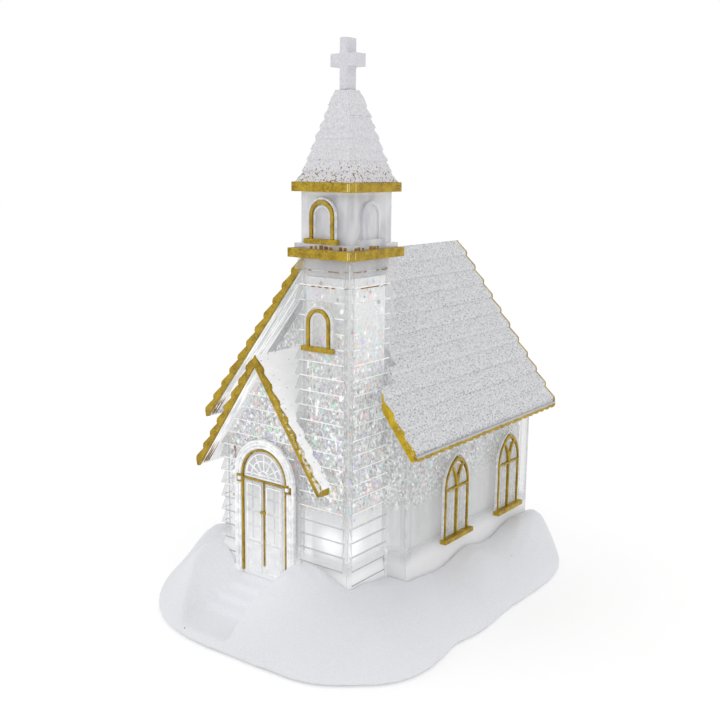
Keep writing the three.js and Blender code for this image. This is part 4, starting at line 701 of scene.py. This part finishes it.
def make_flakes():
    rng = random.Random(SEED)
    shapes = {name: Shape() for name in FLAKES}
    names = list(FLAKES)
    weights = [share for _, share in FLAKES.values()]
    depth = WALL + LIQUID_GAP / 2

    def tower_share(across, z):
        return ramp_between(z, 60, 74) * (1 - 0.8 * ramp_between(z, 112, 165))

    def porch_share(across, z):
        return ramp_between(z, 58, 71)

    def nave_share(across, z):
        return ramp_between(z - 0.15 * across, 58, 74)

    # Each wall: a corner, the wall's normal, its length, its low and high edge, flakes and their size
    walls = [
        (TOWER.x0 + 5, TOWER.y0 + depth, (0, -1), 25, 34, 184, 1100, 0.72, tower_share),
        (TOWER.x1 - depth, TOWER.y0 + 5, (1, 0), 29, 34, 184, 1100, 0.72, tower_share),
        (PORCH.x0 + 5, PORCH.y0 + depth, (0, -1), 49, 34, 128, 1500, 0.7, porch_share),
        (PORCH.x0 + depth, PORCH.y0 + 5, (-1, 0), 24, 34, 92, 500, 0.62, porch_share),
        (NAVE.x1 - depth, NAVE.y0 + 5, (1, 0), 122, 34, 112, 2800, 0.48, nave_share),
        (NAVE.x0 + depth, NAVE.y0 + 5, (-1, 0), 122, 34, 112, 1800, 0.48, nave_share),
        (NAVE.x0 + 5, NAVE.y1 - depth, (0, 1), 102, 34, 170, 1600, 0.5, nave_share),
        (NAVE.x0 + 5, NAVE.y0 + depth, (0, -1), 56, 90, 180, 500, 0.5, nave_share),
    ]
    for x, y, normal, length, low, high, count, size, share in walls:
        normal = Vector((*normal, 0))
        along = Vector((abs(normal.y), abs(normal.x), 0))
        for _ in range(count):
            across, z = rng.uniform(0, length), rng.uniform(low, high)
            place = Vector((x, y, z)) + along * across + normal * rng.uniform(-0.35, 0.35)
            if rng.random() > share(across, z) or not under_roofs(place):
                continue
            tilt = normal + 0.9 * Vector([rng.uniform(-1, 1) for _ in range(3)])
            turn = tilt.normalized().to_track_quat("Z", "Y").to_matrix()
            reach = size * rng.uniform(0.55, 1.25)
            sides = 6
            rim = []
            for i in range(sides):
                angle = math.tau * i / sides
                spoke = turn @ Vector((math.cos(angle), math.sin(angle), 0)) * reach
                rim.append(place + Vector((spoke.x, spoke.y, spoke.z * 1.6)))
            shapes[rng.choices(names, weights)[0]].add(rim, [tuple(range(sides))])
    for name, shape in shapes.items():
        shape.piece(f"flakes_{name}", flake_paint(name, FLAKES[name][0]), "clear")


def under_roofs(place):
    """Whether a point lies under the roof that covers it."""
    clearance = 2.0
    in_front = place.y < NAVE.y0
    if in_front and place.x >= TOWER.x0:
        return True
    roof = PORCH_ROOF if in_front else NAVE_ROOF
    return place.z < roof.under(abs(place.x - roof.centre)) - clearance


# Painted highlight lines where the clapboards lap, and in the clear corner posts


def lap_highlight_and_shade_paint():
    """Painted light on the laps: a white painted highlight above, where the glitter lies behind, which
    glows a little, and a grey painted line below, where the light is bright.
    """
    paint = Paint("butt_line")
    tone = paint.greys([(20, 200), (58, 198), (68, 244), (190, 238)])
    fade = paint.noise(6, detail=2)
    alpha = paint.span(fade, 0.3, 0.6, 0.45, 0.85)
    lit = paint.span(paint.height(), 58, 68, 0.0, 0.16)
    return paint.finish(tone, 0.25, lit=lit, Alpha=alpha)


def make_butt_lines():
    """A thin line under each clapboard of the tower and the porch, painted light: a highlight above the lit
    foot and shade within it.
    """
    shape = Shape()
    width, proud, recess = 0.55, 0.12, 0.05
    z = BOARD_START_Z
    while z < TOWER.z0 - BOARD_PITCH:
        beside_window = TOWER_WINDOW_Z[0] < z < TOWER_WINDOW_Z[1]
        for start, end, window, on_front in (
            (TOWER.x0 + CORNER_POST, TOWER.x1 - CORNER_POST, TOWER_WINDOW_X, True),
            (TOWER.y0 + CORNER_POST, NAVE.y0, TOWER_SIDE_WINDOW_Y, False),
        ):
            spans = [(start, window[0]), (window[1], end)] if beside_window else [(start, end)]
            for low, high in spans:
                if on_front:
                    shape.bar(low, high, TOWER.y0 - recess - proud, TOWER.y0 - recess, z, z + width)
                else:
                    shape.bar(TOWER.x1 + recess, TOWER.x1 + recess + proud, low, high, z, z + width)
        if z < PORCH_ROOF.ridge_z - 12:
            half = (PORCH_ROOF.under(0) - z) / PORCH_ROOF.slope - 1
            left = max(PORCH.x0 + CORNER_POST, PORCH_ROOF.centre - half)
            right = min(PORCH.x1, PORCH_ROOF.centre + half)
            above = max(0.0, z - DOOR_SPRING_Z)
            opening = math.sqrt(max(0.0, (SURROUND_HALF + 0.6) ** 2 - above ** 2))
            beside_door = [(left, DOOR_X - opening), (DOOR_X + opening, right)]
            for x0, x1 in beside_door if opening > 0.5 else [(left, right)]:
                if x0 < x1:
                    shape.bar(x0, x1, PORCH.y0 - recess - proud, PORCH.y0 - recess, z, z + width)
        if z < PORCH_ROOF.eave_z + 12:
            side = PORCH.x0 - recess
            shape.bar(side - proud, side, PORCH.y0 + CORNER_POST, NAVE.y0, z, z + width)
        z += BOARD_PITCH
    shape.piece("butt_lines", lap_highlight_and_shade_paint(), "clear")


def make_corner_glints():
    """Painted highlights: bright upright lines inside the clear corner posts, and a fill between tower and
    nave.
    """
    shape = Shape()
    foot = SURROUND_FOOT_Z + 1
    line = 0.8
    for x, y, top in (
        (TOWER.x1 - line, TOWER.y0, POST_TOP_Z),
        (TOWER.x0 + WALL, TOWER.y0 + WALL, POST_TOP_Z),
        (PORCH.x0 + WALL, PORCH.y0 + WALL, PORCH_POST_TOP_Z),
        (NAVE.x1 - line, NAVE.y0, NAVE_POST_TOP_Z),
        (NAVE.x0 + line / 2, NAVE.y0, NAVE_POST_TOP_Z),
        (NAVE.x1 - line, NAVE.y1 - line, NAVE_POST_TOP_Z),
        (NAVE.x0 + line / 2, NAVE.y1 - line, NAVE_POST_TOP_Z),
    ):
        shape.bar(x, x + line * 0.8, y - 0.1, y + line * 0.8, foot, top)
    shape.piece("corner_glints", moulding_paint("corner_glint", 0.4), "clear", bevel=0.2)
    fill = Shape()
    fill.bar(TOWER.x1 - 0.1, TOWER.x1 + 1.4, NAVE.y0 - 1.4, NAVE.y0 + 0.1, foot, foot + 20)
    fill.piece("inner_corner_fill", moulding_paint("corner_fill", 0.86, 0.06), "clear", bevel=0.3)


# Windows and door


def make_window_linings():
    """Clear borders inside and outside each gold window line."""
    shape = Shape()
    for trim, wall_y, rise in (
        ("tower_window_trim", TOWER.y0, 14.3), ("belfry_window_trim", TOWER.y0 + BELFRY_SETBACK, 13.6),
    ):
        box = node_box(trim)
        x = (box.x0 + box.x1) / 2
        for reach, width, depth in ((4.7, 1.3, 0.7), (8.4, 1.4, 0.9)):
            path = arch_path(x, reach, box.z0 + 2.5, box.z0 + rise, wall_y - WINDOW_PAD)
            shape.strip(path, width, FRONT, depth)
    sill_z, spring_z = 40, 66.5
    for side, face, out in (("right", NAVE.x1 + WINDOW_PAD, 1), ("left", NAVE.x0 - WINDOW_PAD, -1)):
        for i in (1, 2):
            box = node_box(f"nave_window_{side}_{i}")
            y = (box.y0 + box.y1) / 2
            for reach, apex, width, depth in ((9.6, 79.6, 1.2, 0.8), (13.2, 84.8, 1.6, 1.0)):
                path = lancet_path(face, y, reach, sill_z - 1.5, spring_z, apex)
                shape.strip(path, width, (out, 0, 0), depth)
            for offset, top, width, depth in (
                (-2.6, 63, 1.0, 0.6), (2.6, 63, 1.0, 0.6), (-5.6, 72, 0.7, 0.5), (5.6, 72, 0.7, 0.5),
            ):
                path = [(face, y + offset, sill_z), (face, y + offset, top)]
                shape.strip(path, width, (out, 0, 0), depth)
    shape.piece("window_linings", moulding_paint("window_lining", 0.5), "clear")


def make_door_rings(paint):
    """Concentric mouldings round the door, with their imposts, feet and the rosettes' middles."""
    shape = Shape()
    face, foot = SURROUND_FACE_Y, SURROUND_FOOT_Z
    for reach, width, depth in ((17.1, 1.4, 0.7), (18.9, 1.2, 1.0), (20.4, 1.2, 0.6)):
        path = arch_path(DOOR_X, reach, foot + 0.6, DOOR_SPRING_Z, face)
        shape.strip(path[2:-2], width, FRONT, depth)
        top = DOOR_SPRING_Z if reach > 20 else DOOR_TRANSOM_Z - 3.2
        for x in (DOOR_X - reach, DOOR_X + reach):
            shape.strip([(x, face, foot + 0.6), (x, face, top)], width, FRONT, depth)
    for side in (-1, 1):
        x = DOOR_X + side * 20.1
        shape.bar(x - 1.0, x + 1.0, face - 1.3, face, DOOR_SPRING_Z - 0.6, DOOR_SPRING_Z + 1.2)
        shape.bar(x - 2.4, x + 1.0, face - 1.1, face, foot + 0.2, foot + 4)
        x = DOOR_X + side * 17
        shape.bar(x - 0.95, x + 0.95, face - 1.2, face, DOOR_TRANSOM_Z - 1.25, DOOR_TRANSOM_Z + 0.65)
    shape.piece("door_mouldings", paint, "clear", bevel=0.15)


def make_fanlight(paint):
    """The fanlight's arcs, spokes and foot bars."""
    shape = Shape()
    reach = 12.6

    def at(radius, share):
        angle = math.pi * share
        z = DOOR_SPRING_Z + 0.6 + radius * math.sin(angle)
        return (DOOR_X + radius * math.cos(angle), DOOR_FACE_Y, z)

    for radius in (reach, 8.8, 3.4):
        shape.strip([at(radius, i / 18) for i in range(19)], 0.8, FRONT, 0.8)
    for i in range(1, 6):
        shape.strip([at(radius, i / 6) for radius in (3.4, 8, reach)], 0.7, FRONT, 0.7)
    for rise in (1.0, 2.8):
        z = DOOR_TRANSOM_Z + DOOR_LINE + rise
        shape.strip([(DOOR_X - 13, DOOR_FACE_Y, z), (DOOR_X + 13, DOOR_FACE_Y, z)], 0.7, FRONT, 0.8)
    shape.piece("fanlight_bars", paint, "clear")


def make_panel_frames(paint):
    """A low and a tall frame on each door leaf, with two upright lines in the low one."""
    shape = Shape()
    y = DOOR_FACE_Y - 0.5
    half = 4.8
    for middle in (DOOR_X - 7, DOOR_X + 7):
        left, right = middle - half, middle + half
        for low, high in ((22.8, 38.2), (40.6, 71.4)):
            for x0, z0, x1, z1 in (
                (left, low, left, high), (right, low, right, high),
                (left, low, right, low), (left, high, right, high),
            ):
                shape.strip([(x0, y, z0), (x1, y, z1)], 0.7, FRONT, 0.5)
        for x in (left + 2, right - 2):
            shape.strip([(x, y, 25), (x, y, 36)], 0.5, FRONT, 0.4)
    shape.piece("door_panel_frames", paint, "clear")


# Under the roofs' front edges


def soffit_paint(name, foot_z):
    """Clear ribs that look white, with a painted reflection of the rake's gold at their lower ends, over
    foot_z, and a painted glow.
    """
    paint = Paint(name)
    streak = paint.noise(2.2, detail=3, roughness=0.6, vector=paint.stretched(0.12, 1.0, 0.12))
    tone = paint.mix(paint.span(streak, 0.4, 0.6), srgb(206, 207, 208), srgb(248))
    low = paint.span(paint.height(), foot_z + 6, foot_z + 17, 1.0, 0.0)
    patch = paint.noise(3.0, detail=2, vector=paint.stretched(0.3, 1.0, 0.3))
    # Painted reflection of the rake's gold near the eave; lit 0.28 below is a painted glow that lifts the
    # downward-facing ribs.
    gold = paint.times(low, paint.span(patch, 0.5, 0.56))
    tone = paint.mix(gold, tone, paint.mix(streak, srgb(96, 52, 10), srgb(170, 130, 40)))
    return paint.finish(tone, 0.2, paint.bump(streak, 0.4), lit=0.28)


def make_soffits():
    """Ribs along the slopes, under the overhang of each roof's front."""
    for name, roof, wall_y, ribs in (
        ("soffit_nave", NAVE_ROOF, NAVE.y0, 7), ("soffit_porch", PORCH_ROOF, PORCH.y0, 4),
    ):
        shape = Shape()
        pitch = (wall_y - 0.3 - roof.front_y) / ribs
        for side in (-1, 1):
            top = ROOF_NOTCH_X if side > 0 and roof is NAVE_ROOF else 1.5
            for i in range(ribs):
                low = roof.front_y + i * pitch + 0.15
                high = low + pitch - 0.3
                points = []
                for across in (roof.half - 4.5, top):
                    x, z = roof.centre + side * across, roof.under(across)
                    points += [(x, low, z - 0.1), (x, (low + high) / 2, z - 0.8), (x, high, z - 0.1)]
                shape.add(points, [(0, 1, 4, 3), (1, 2, 5, 4), (0, 3, 5, 2), (0, 2, 1), (3, 4, 5)])
        shape.piece(name, soffit_paint(name, roof.eave_z - roof.thick), "clear")


def make_soffit_wedges():
    """The rakes' gold, mirrored between the ribs at the left eaves' ends and on the porch's corner."""
    shape = Shape()
    for roof, places, length in ((PORCH_ROOF, (-75.2, -73.6, -72.0), 9), (NAVE_ROOF, (-52.6, -50.4), 8)):
        low = roof.half - 3.4
        for y in places:
            points = []
            for across, along in ((low, y), (low, y + 1.1), (low - length, y + 0.5)):
                x, z = roof.centre - across, roof.under(across) - 1.0
                points += [(x, along, z), (x, along, z - 0.2)]
            shape.add(points, [(0, 2, 4), (1, 5, 3), (0, 1, 3, 2), (2, 3, 5, 4), (4, 5, 1, 0)])
    for x0, x1, z0, z1 in ((-34.9, -34.4, 83, 88), (-35.3, -34.2, 88, 90)):
        shape.bar(x0, x1, PORCH.y0 - 0.2, PORCH.y0 - 0.05, z0, z1)
    shape.piece("soffit_wedges", gold_paint("mirrored_gold", MIRRORED_GOLD), "gold")


def make_eave_cap():
    """The gold end of the porch's right eave."""
    cap = Shape()
    end, z = node_box("porch_roof").x1, PORCH_ROOF.eave_z
    cap.bar(end - 1.0, end - 0.02, PORCH_ROOF.front_y, TOWER.y0 - 0.2, z - 3.1, z + 0.6)
    cap.piece("porch_eave_cap", gold_paint("eave_cap_gold", GOLD), "gold", bevel=0.2)


def make_cornice_highlights():
    """Painted highlights: bright upright lines beside the cornices' near corners."""
    paint = plain_paint("cornice_highlight", srgb(226, 214, 150), 0.4)
    shape = Shape()
    for name in ("lower_cornice", "upper_cornice"):
        box = node_box(name)
        for offset, width in ((2.6, 0.5), (1.5, 0.35)):
            x = box.x1 - offset
            shape.bar(x, x + width, box.y0 - 0.04, box.y0 + 0.1, box.z0 + 0.4, box.z1 - 0.4)
        y = box.y0 + 3.2
        shape.bar(box.x1 - 0.1, box.x1 + 0.04, y, y + 0.4, box.z0 + 0.4, box.z1 - 0.4)
    shape.piece("cornice_highlights", paint, "gold")


# Gold flecks and brown reflections in the clear collar of the tower


def collar_loop(inset, corner, z):
    """A closed path round the tower, inside its walls, with rounded corners."""
    x0, x1 = TOWER.x0 + inset + corner, TOWER.x1 - inset - corner
    y0, y1 = TOWER.y0 + inset + corner, TOWER.y1 - inset - corner
    path = []
    for x, y, start in ((x1, y0, -90), (x1, y1, 0), (x0, y1, 90), (x0, y0, 180)):
        for i in range(7):
            angle = math.radians(start + 15 * i)
            path.append(Vector((x + corner * math.cos(angle), y + corner * math.sin(angle), z)))
    return path + [path[0]]


def make_collar():
    """The plug's rounded ring seen through the tower's top, with dashes of gold flecks, and brown painted
    reflections in the collar.
    """
    rng = random.Random(SEED + 1)
    ring = Shape()
    dashes = Shape()
    for z, share in ((189.0, 0.4), (181.0, 0.5)):
        path = collar_loop(1.1, 9, z)
        for a, b in zip(path, path[1:]):
            steps = max(1, round((b - a).length / 2.2))
            for k in range(steps):
                p, q = a.lerp(b, k / steps), a.lerp(b, (k + 1) / steps)
                target, thick = (dashes, 0.28) if rng.random() < share else (ring, 0.16)
                across = (q - p).normalized().cross(Vector((0, 0, 1))) * thick
                up = Vector((0, 0, thick))
                offsets = (-across - up, across - up, across + up, up - across)
                corners = [end + offset for end in (p, q) for offset in offsets]
                target.add(corners, [
                    (0, 1, 5, 4), (1, 2, 6, 5), (2, 3, 7, 6), (3, 0, 4, 7), (0, 3, 2, 1), (4, 5, 6, 7),
                ])
    fleck_and_reflection_paint = gold_paint("gold_fleck_and_reflection", GOLD_FLECK_AND_REFLECTION)
    ring.piece("plug_ring", moulding_paint("plug_rim", 0.55), "clear")
    dashes.piece("plug_ring_gold", fleck_and_reflection_paint, "gold")

    # Painted reflections: brown bars along the collar's front and side.
    brown = Shape()
    z0, z1 = 199.7, 201.6
    front, side = TOWER.y0, TOWER.x1
    for x in range(int(TOWER.x0) + 2, int(TOWER.x1) - 3, 3):
        if rng.random() < 0.7:
            brown.bar(x, x + rng.uniform(1.5, 3), front - 0.12, front - 0.02, z0, z1 - rng.uniform(0, 0.8))
    for y in range(int(TOWER.y0) + 2, int(TOWER.y1) - 8, 3):
        if rng.random() < 0.7:
            brown.bar(side + 0.02, side + 0.12, y, y + rng.uniform(1.5, 3), z0, z1 - rng.uniform(0, 0.8))
    brown.piece("collar_reflections", fleck_and_reflection_paint, "gold")


# How the solids are dressed


def remesh(node, size):
    """Gives a node an even mesh, in cells of size millimetres."""
    even = node.modifiers.new("even", "REMESH")
    even.mode = "VOXEL"
    even.voxel_size = size * MM
    even.use_smooth_shade = True


def soften_snow():
    """Rounds the drift's facets and steps by a fine even mesh that is relaxed."""
    snow = nodes["snow_base"]
    remesh(snow, 1.1)
    smooth = snow.modifiers.new("relaxed", "SMOOTH")
    smooth.factor = 0.5
    smooth.iterations = 12


def frost_spire():
    """Breaks the spire's rows into icy lumps."""
    texture = bpy.data.textures.new("ice_lumps", "CLOUDS")
    texture.noise_scale = 2.4 * MM
    texture.noise_depth = 2
    for name, depth in (("spire", 0.9), ("cross", 0.15)):
        node = nodes[name]
        remesh(node, 0.45)
        lumps = node.modifiers.new("lumps", "DISPLACE")
        lumps.texture = texture
        lumps.texture_coords = "LOCAL"
        lumps.strength = -depth * MM
        lumps.mid_level = 0.35


def bevel_nodes(width, *names):
    for name in names:
        modifier = nodes[name].modifiers.new("edges", "BEVEL")
        modifier.width = width * MM
        modifier.segments = 2
        modifier.limit_method = "ANGLE"


def dress_nodes():
    gold = gold_paint("gold", GOLD)
    worn = gold_paint("gold_worn", GOLD, rubbed_edge(PORCH_ROOF, 2.4, 0.52))
    bright = gold_paint("gold_bright", BRIGHT_GOLD, rubbed_edge(NAVE_ROOF, 1.2, 0.66))
    trims = [
        "lower_cornice", "upper_cornice", "tower_window_trim", "belfry_window_trim", "door_trim",
        "nave_rake_left", "nave_rake_back",
    ]
    trims += [f"nave_window_{side}_{i}" for side in ("right", "left") for i in (1, 2)]
    set_paint(gold, *trims)
    eave = node_box("nave_eave_right")
    frost = frosted_top(eave.z1 - 1.2, eave.z1 - 0.7)
    snowed = gold_paint("gold_eave", GOLD, frost, ROOF_GREY)
    set_paint(snowed, "nave_eave_left", "nave_eave_right")
    set_paint(worn, "porch_rake")
    set_paint(bright, "nave_rake_right")
    bevel_nodes(0.3, *trims, "porch_rake", "nave_rake_right", "nave_eave_left", "nave_eave_right")

    set_paint(snow_paint(), "snow_base")
    # Both roofs glow a little, the porch's more (lit 0.3): painted light from within.
    set_paint(roof_paint("nave_roof_frost", 0.5, ROOF_WHITE, ROOF_GREY, 0.02), "nave_roof")
    set_paint(roof_paint("porch_roof_frost", 0.06, srgb(238), srgb(222, 222, 223), 0.3), "porch_roof")
    set_paint(spire_paint(), "spire")
    set_paint(cross_paint(), "cross")
    thick = WALL + LIQUID_GAP
    corners = [(x, y, thick) for x in (NAVE.x0, NAVE.x1) for y in (NAVE.y0, NAVE.y1)]
    corners += [(x, TOWER.y0, thick) for x in (PORCH.x0, TOWER.x0, TOWER.x1)]
    nave = clear_paint("clear_nave", 0.12, foot_z=MILK_GLOW_FOOT_Z, corners=corners, glow_tone=MILK_GLOW_GREY)
    set_paint(nave, "nave_walls")
    walls = clear_paint("clear_wall", 0.12, foot_z=MILK_GLOW_FOOT_Z, corners=corners)
    set_paint(walls, "tower_walls", "porch_walls")
    set_paint(clear_paint("clear_belfry", 0.5, srgb(204, 204, 211)), "belfry_walls", "tower_plug")
    set_paint(clear_paint("clear_inside", 0.45), "tank_floor", "impeller_guard")
    set_paint(leaf_paint(), "door_leaves")
    set_paint(moulding_paint("door_clear", 0.8, 0.06), "door_surround")

    white = plain_paint("white_plastic", srgb(236, 236, 234), 0.45, shine=0.4)
    rubber = plain_paint("soft_rubber", srgb(206, 206, 202), 0.85, relief=0.1, vary=0.15, shine=0.2)
    steel = plain_paint("plated_steel", srgb(196, 198, 200), 0.28, relief=0.02, grain=0.8, Metallic=1.0)
    dark = plain_paint("black_plastic", srgb(42, 44, 46), 0.5, relief=0.04, vary=0.25, shine=0.4)
    magnet = plain_paint("magnet", srgb(86, 86, 90), 0.45, relief=0.05, vary=0.2, Metallic=0.7)
    led_light = srgb(255, 250, 240)
    lens = plain_paint("led_lens", srgb(250, 250, 246), 0.2, relief=0.02, lit=1.5, Emission_Color=led_light)
    set_paint(white, "base_plate", "battery_tray", "battery_door")
    set_paint(white, "motor_bridge", "magnet_carrier", "impeller")
    set_paint(rubber, *[f"foot_{i}" for i in range(1, 5)], "tank_gasket", "filler_plug")
    set_paint(steel, *[f"base_screw_{i}" for i in range(1, 5)])
    set_paint(steel, "contact_front", "contact_back", "inlet_socket", "motor_body")
    set_paint(dark, "switch_housing", "switch_knob")
    set_paint(magnet, "drive_magnet")
    set_paint(circuit_paint(), "inlet_board", "led_board")
    set_paint(lens, "led_1", "led_2", "led_3")
    set_paint(cell_paint(), "battery_1", "battery_2", "battery_3")
    bevel_nodes(0.25, "base_plate", "battery_door", "switch_knob", "motor_bridge", "motor_body")


# Camera, lights and the pale stage


def make_camera():
    forward = Vector(CAMERA_FORWARD).normalized()
    level = forward.cross(Vector((0, 0, 1))).normalized()
    upright = level.cross(forward)
    roll = math.radians(CAMERA_ROLL)
    right = level * math.cos(roll) + upright * math.sin(roll)
    up = upright * math.cos(roll) - level * math.sin(roll)
    data = bpy.data.cameras.new("camera")
    data.lens = CAMERA_LENS
    data.sensor_width = CAMERA_SENSOR
    data.clip_start = 0.01
    camera = add_object("camera", data)
    turn = Matrix((right, up, -forward)).transposed().to_4x4()
    camera.matrix_world = Matrix.Translation(Vector(CAMERA_PLACE) * MM) @ turn
    bpy.context.scene.camera = camera


def make_lamp(name, place, size, watts):
    """A round lamp that shines on the middle of the building."""
    data = bpy.data.lights.new(name, "AREA")
    data.shape = "DISK"
    data.size = size
    data.energy = watts
    lamp = add_object(name, data)
    direction = Vector((0, 0, 0.1)) - Vector(place)
    turn = direction.to_track_quat("-Z", "Y").to_matrix().to_4x4()
    lamp.matrix_world = Matrix.Translation(Vector(place)) @ turn


def make_world(strength):
    """White to the camera, to mirrors and through glass, and a soft light all round otherwise."""
    world = bpy.data.worlds.new("studio")
    world.use_nodes = True
    tree = Tree(world.node_tree)
    path = tree.add("LightPath").outputs
    seen = tree.math("MAXIMUM", path["Is Camera Ray"], path["Is Glossy Ray"])
    seen = tree.math("MAXIMUM", seen, path["Is Transmission Ray"])
    lit = tree.add("Background", {"Color": srgb(255), "Strength": strength}).outputs[0]
    white = tree.add("Background", {"Color": srgb(255), "Strength": 1.0}).outputs[0]
    tree.add("OutputWorld", {"Surface": tree.add("MixShader", {0: seen, 1: lit, 2: white}).outputs[0]})
    bpy.context.scene.world = world


def make_floor():
    """A white floor that keeps the object's shadow and isn't seen from below."""
    reach = 4.0
    mesh = bpy.data.meshes.new("floor")
    corners = [(x * reach, y * reach, 0) for x, y in ((-1, -1), (1, -1), (1, 1), (-1, 1))]
    mesh.from_pydata(corners, [], [(0, 1, 2, 3)])
    material = bpy.data.materials.new("floor")
    material.use_nodes = True
    tree = Tree(material.node_tree)
    diffuse = tree.add("BsdfDiffuse", {"Color": srgb(245)}).outputs[0]
    lift = tree.add("Emission", {"Strength": 0.2}).outputs[0]
    pale = tree.add("AddShader", {0: diffuse, 1: lift}).outputs[0]
    clear = tree.add("BsdfTransparent").outputs[0]
    below = tree.add("NewGeometry").outputs["Backfacing"]
    tree.add("OutputMaterial", {"Surface": tree.add("MixShader", {0: below, 1: pale, 2: clear}).outputs[0]})
    mesh.materials.append(material)
    floor = add_object("floor", mesh)


make_camera()
make_world(0.88)
make_lamp("key", (0.7, -0.9, 1.3), 1.2, 1.2)
make_lamp("fill", (-1.1, -0.6, 0.9), 1.4, 1.1)
make_floor()

dress_nodes()
soften_snow()
frost_spire()
make_liquid()
make_belfry_core()
make_flakes()
make_butt_lines()
make_corner_glints()
make_window_linings()
door_paint = moulding_paint("door_moulding", 0.86, 0.14)
make_door_rings(door_paint)
make_fanlight(door_paint)
make_panel_frames(door_paint)
make_soffits()
make_soffit_wedges()
make_eave_cap()
make_cornice_highlights()
make_collar()

bpy.context.scene.view_settings.view_transform = "Standard"
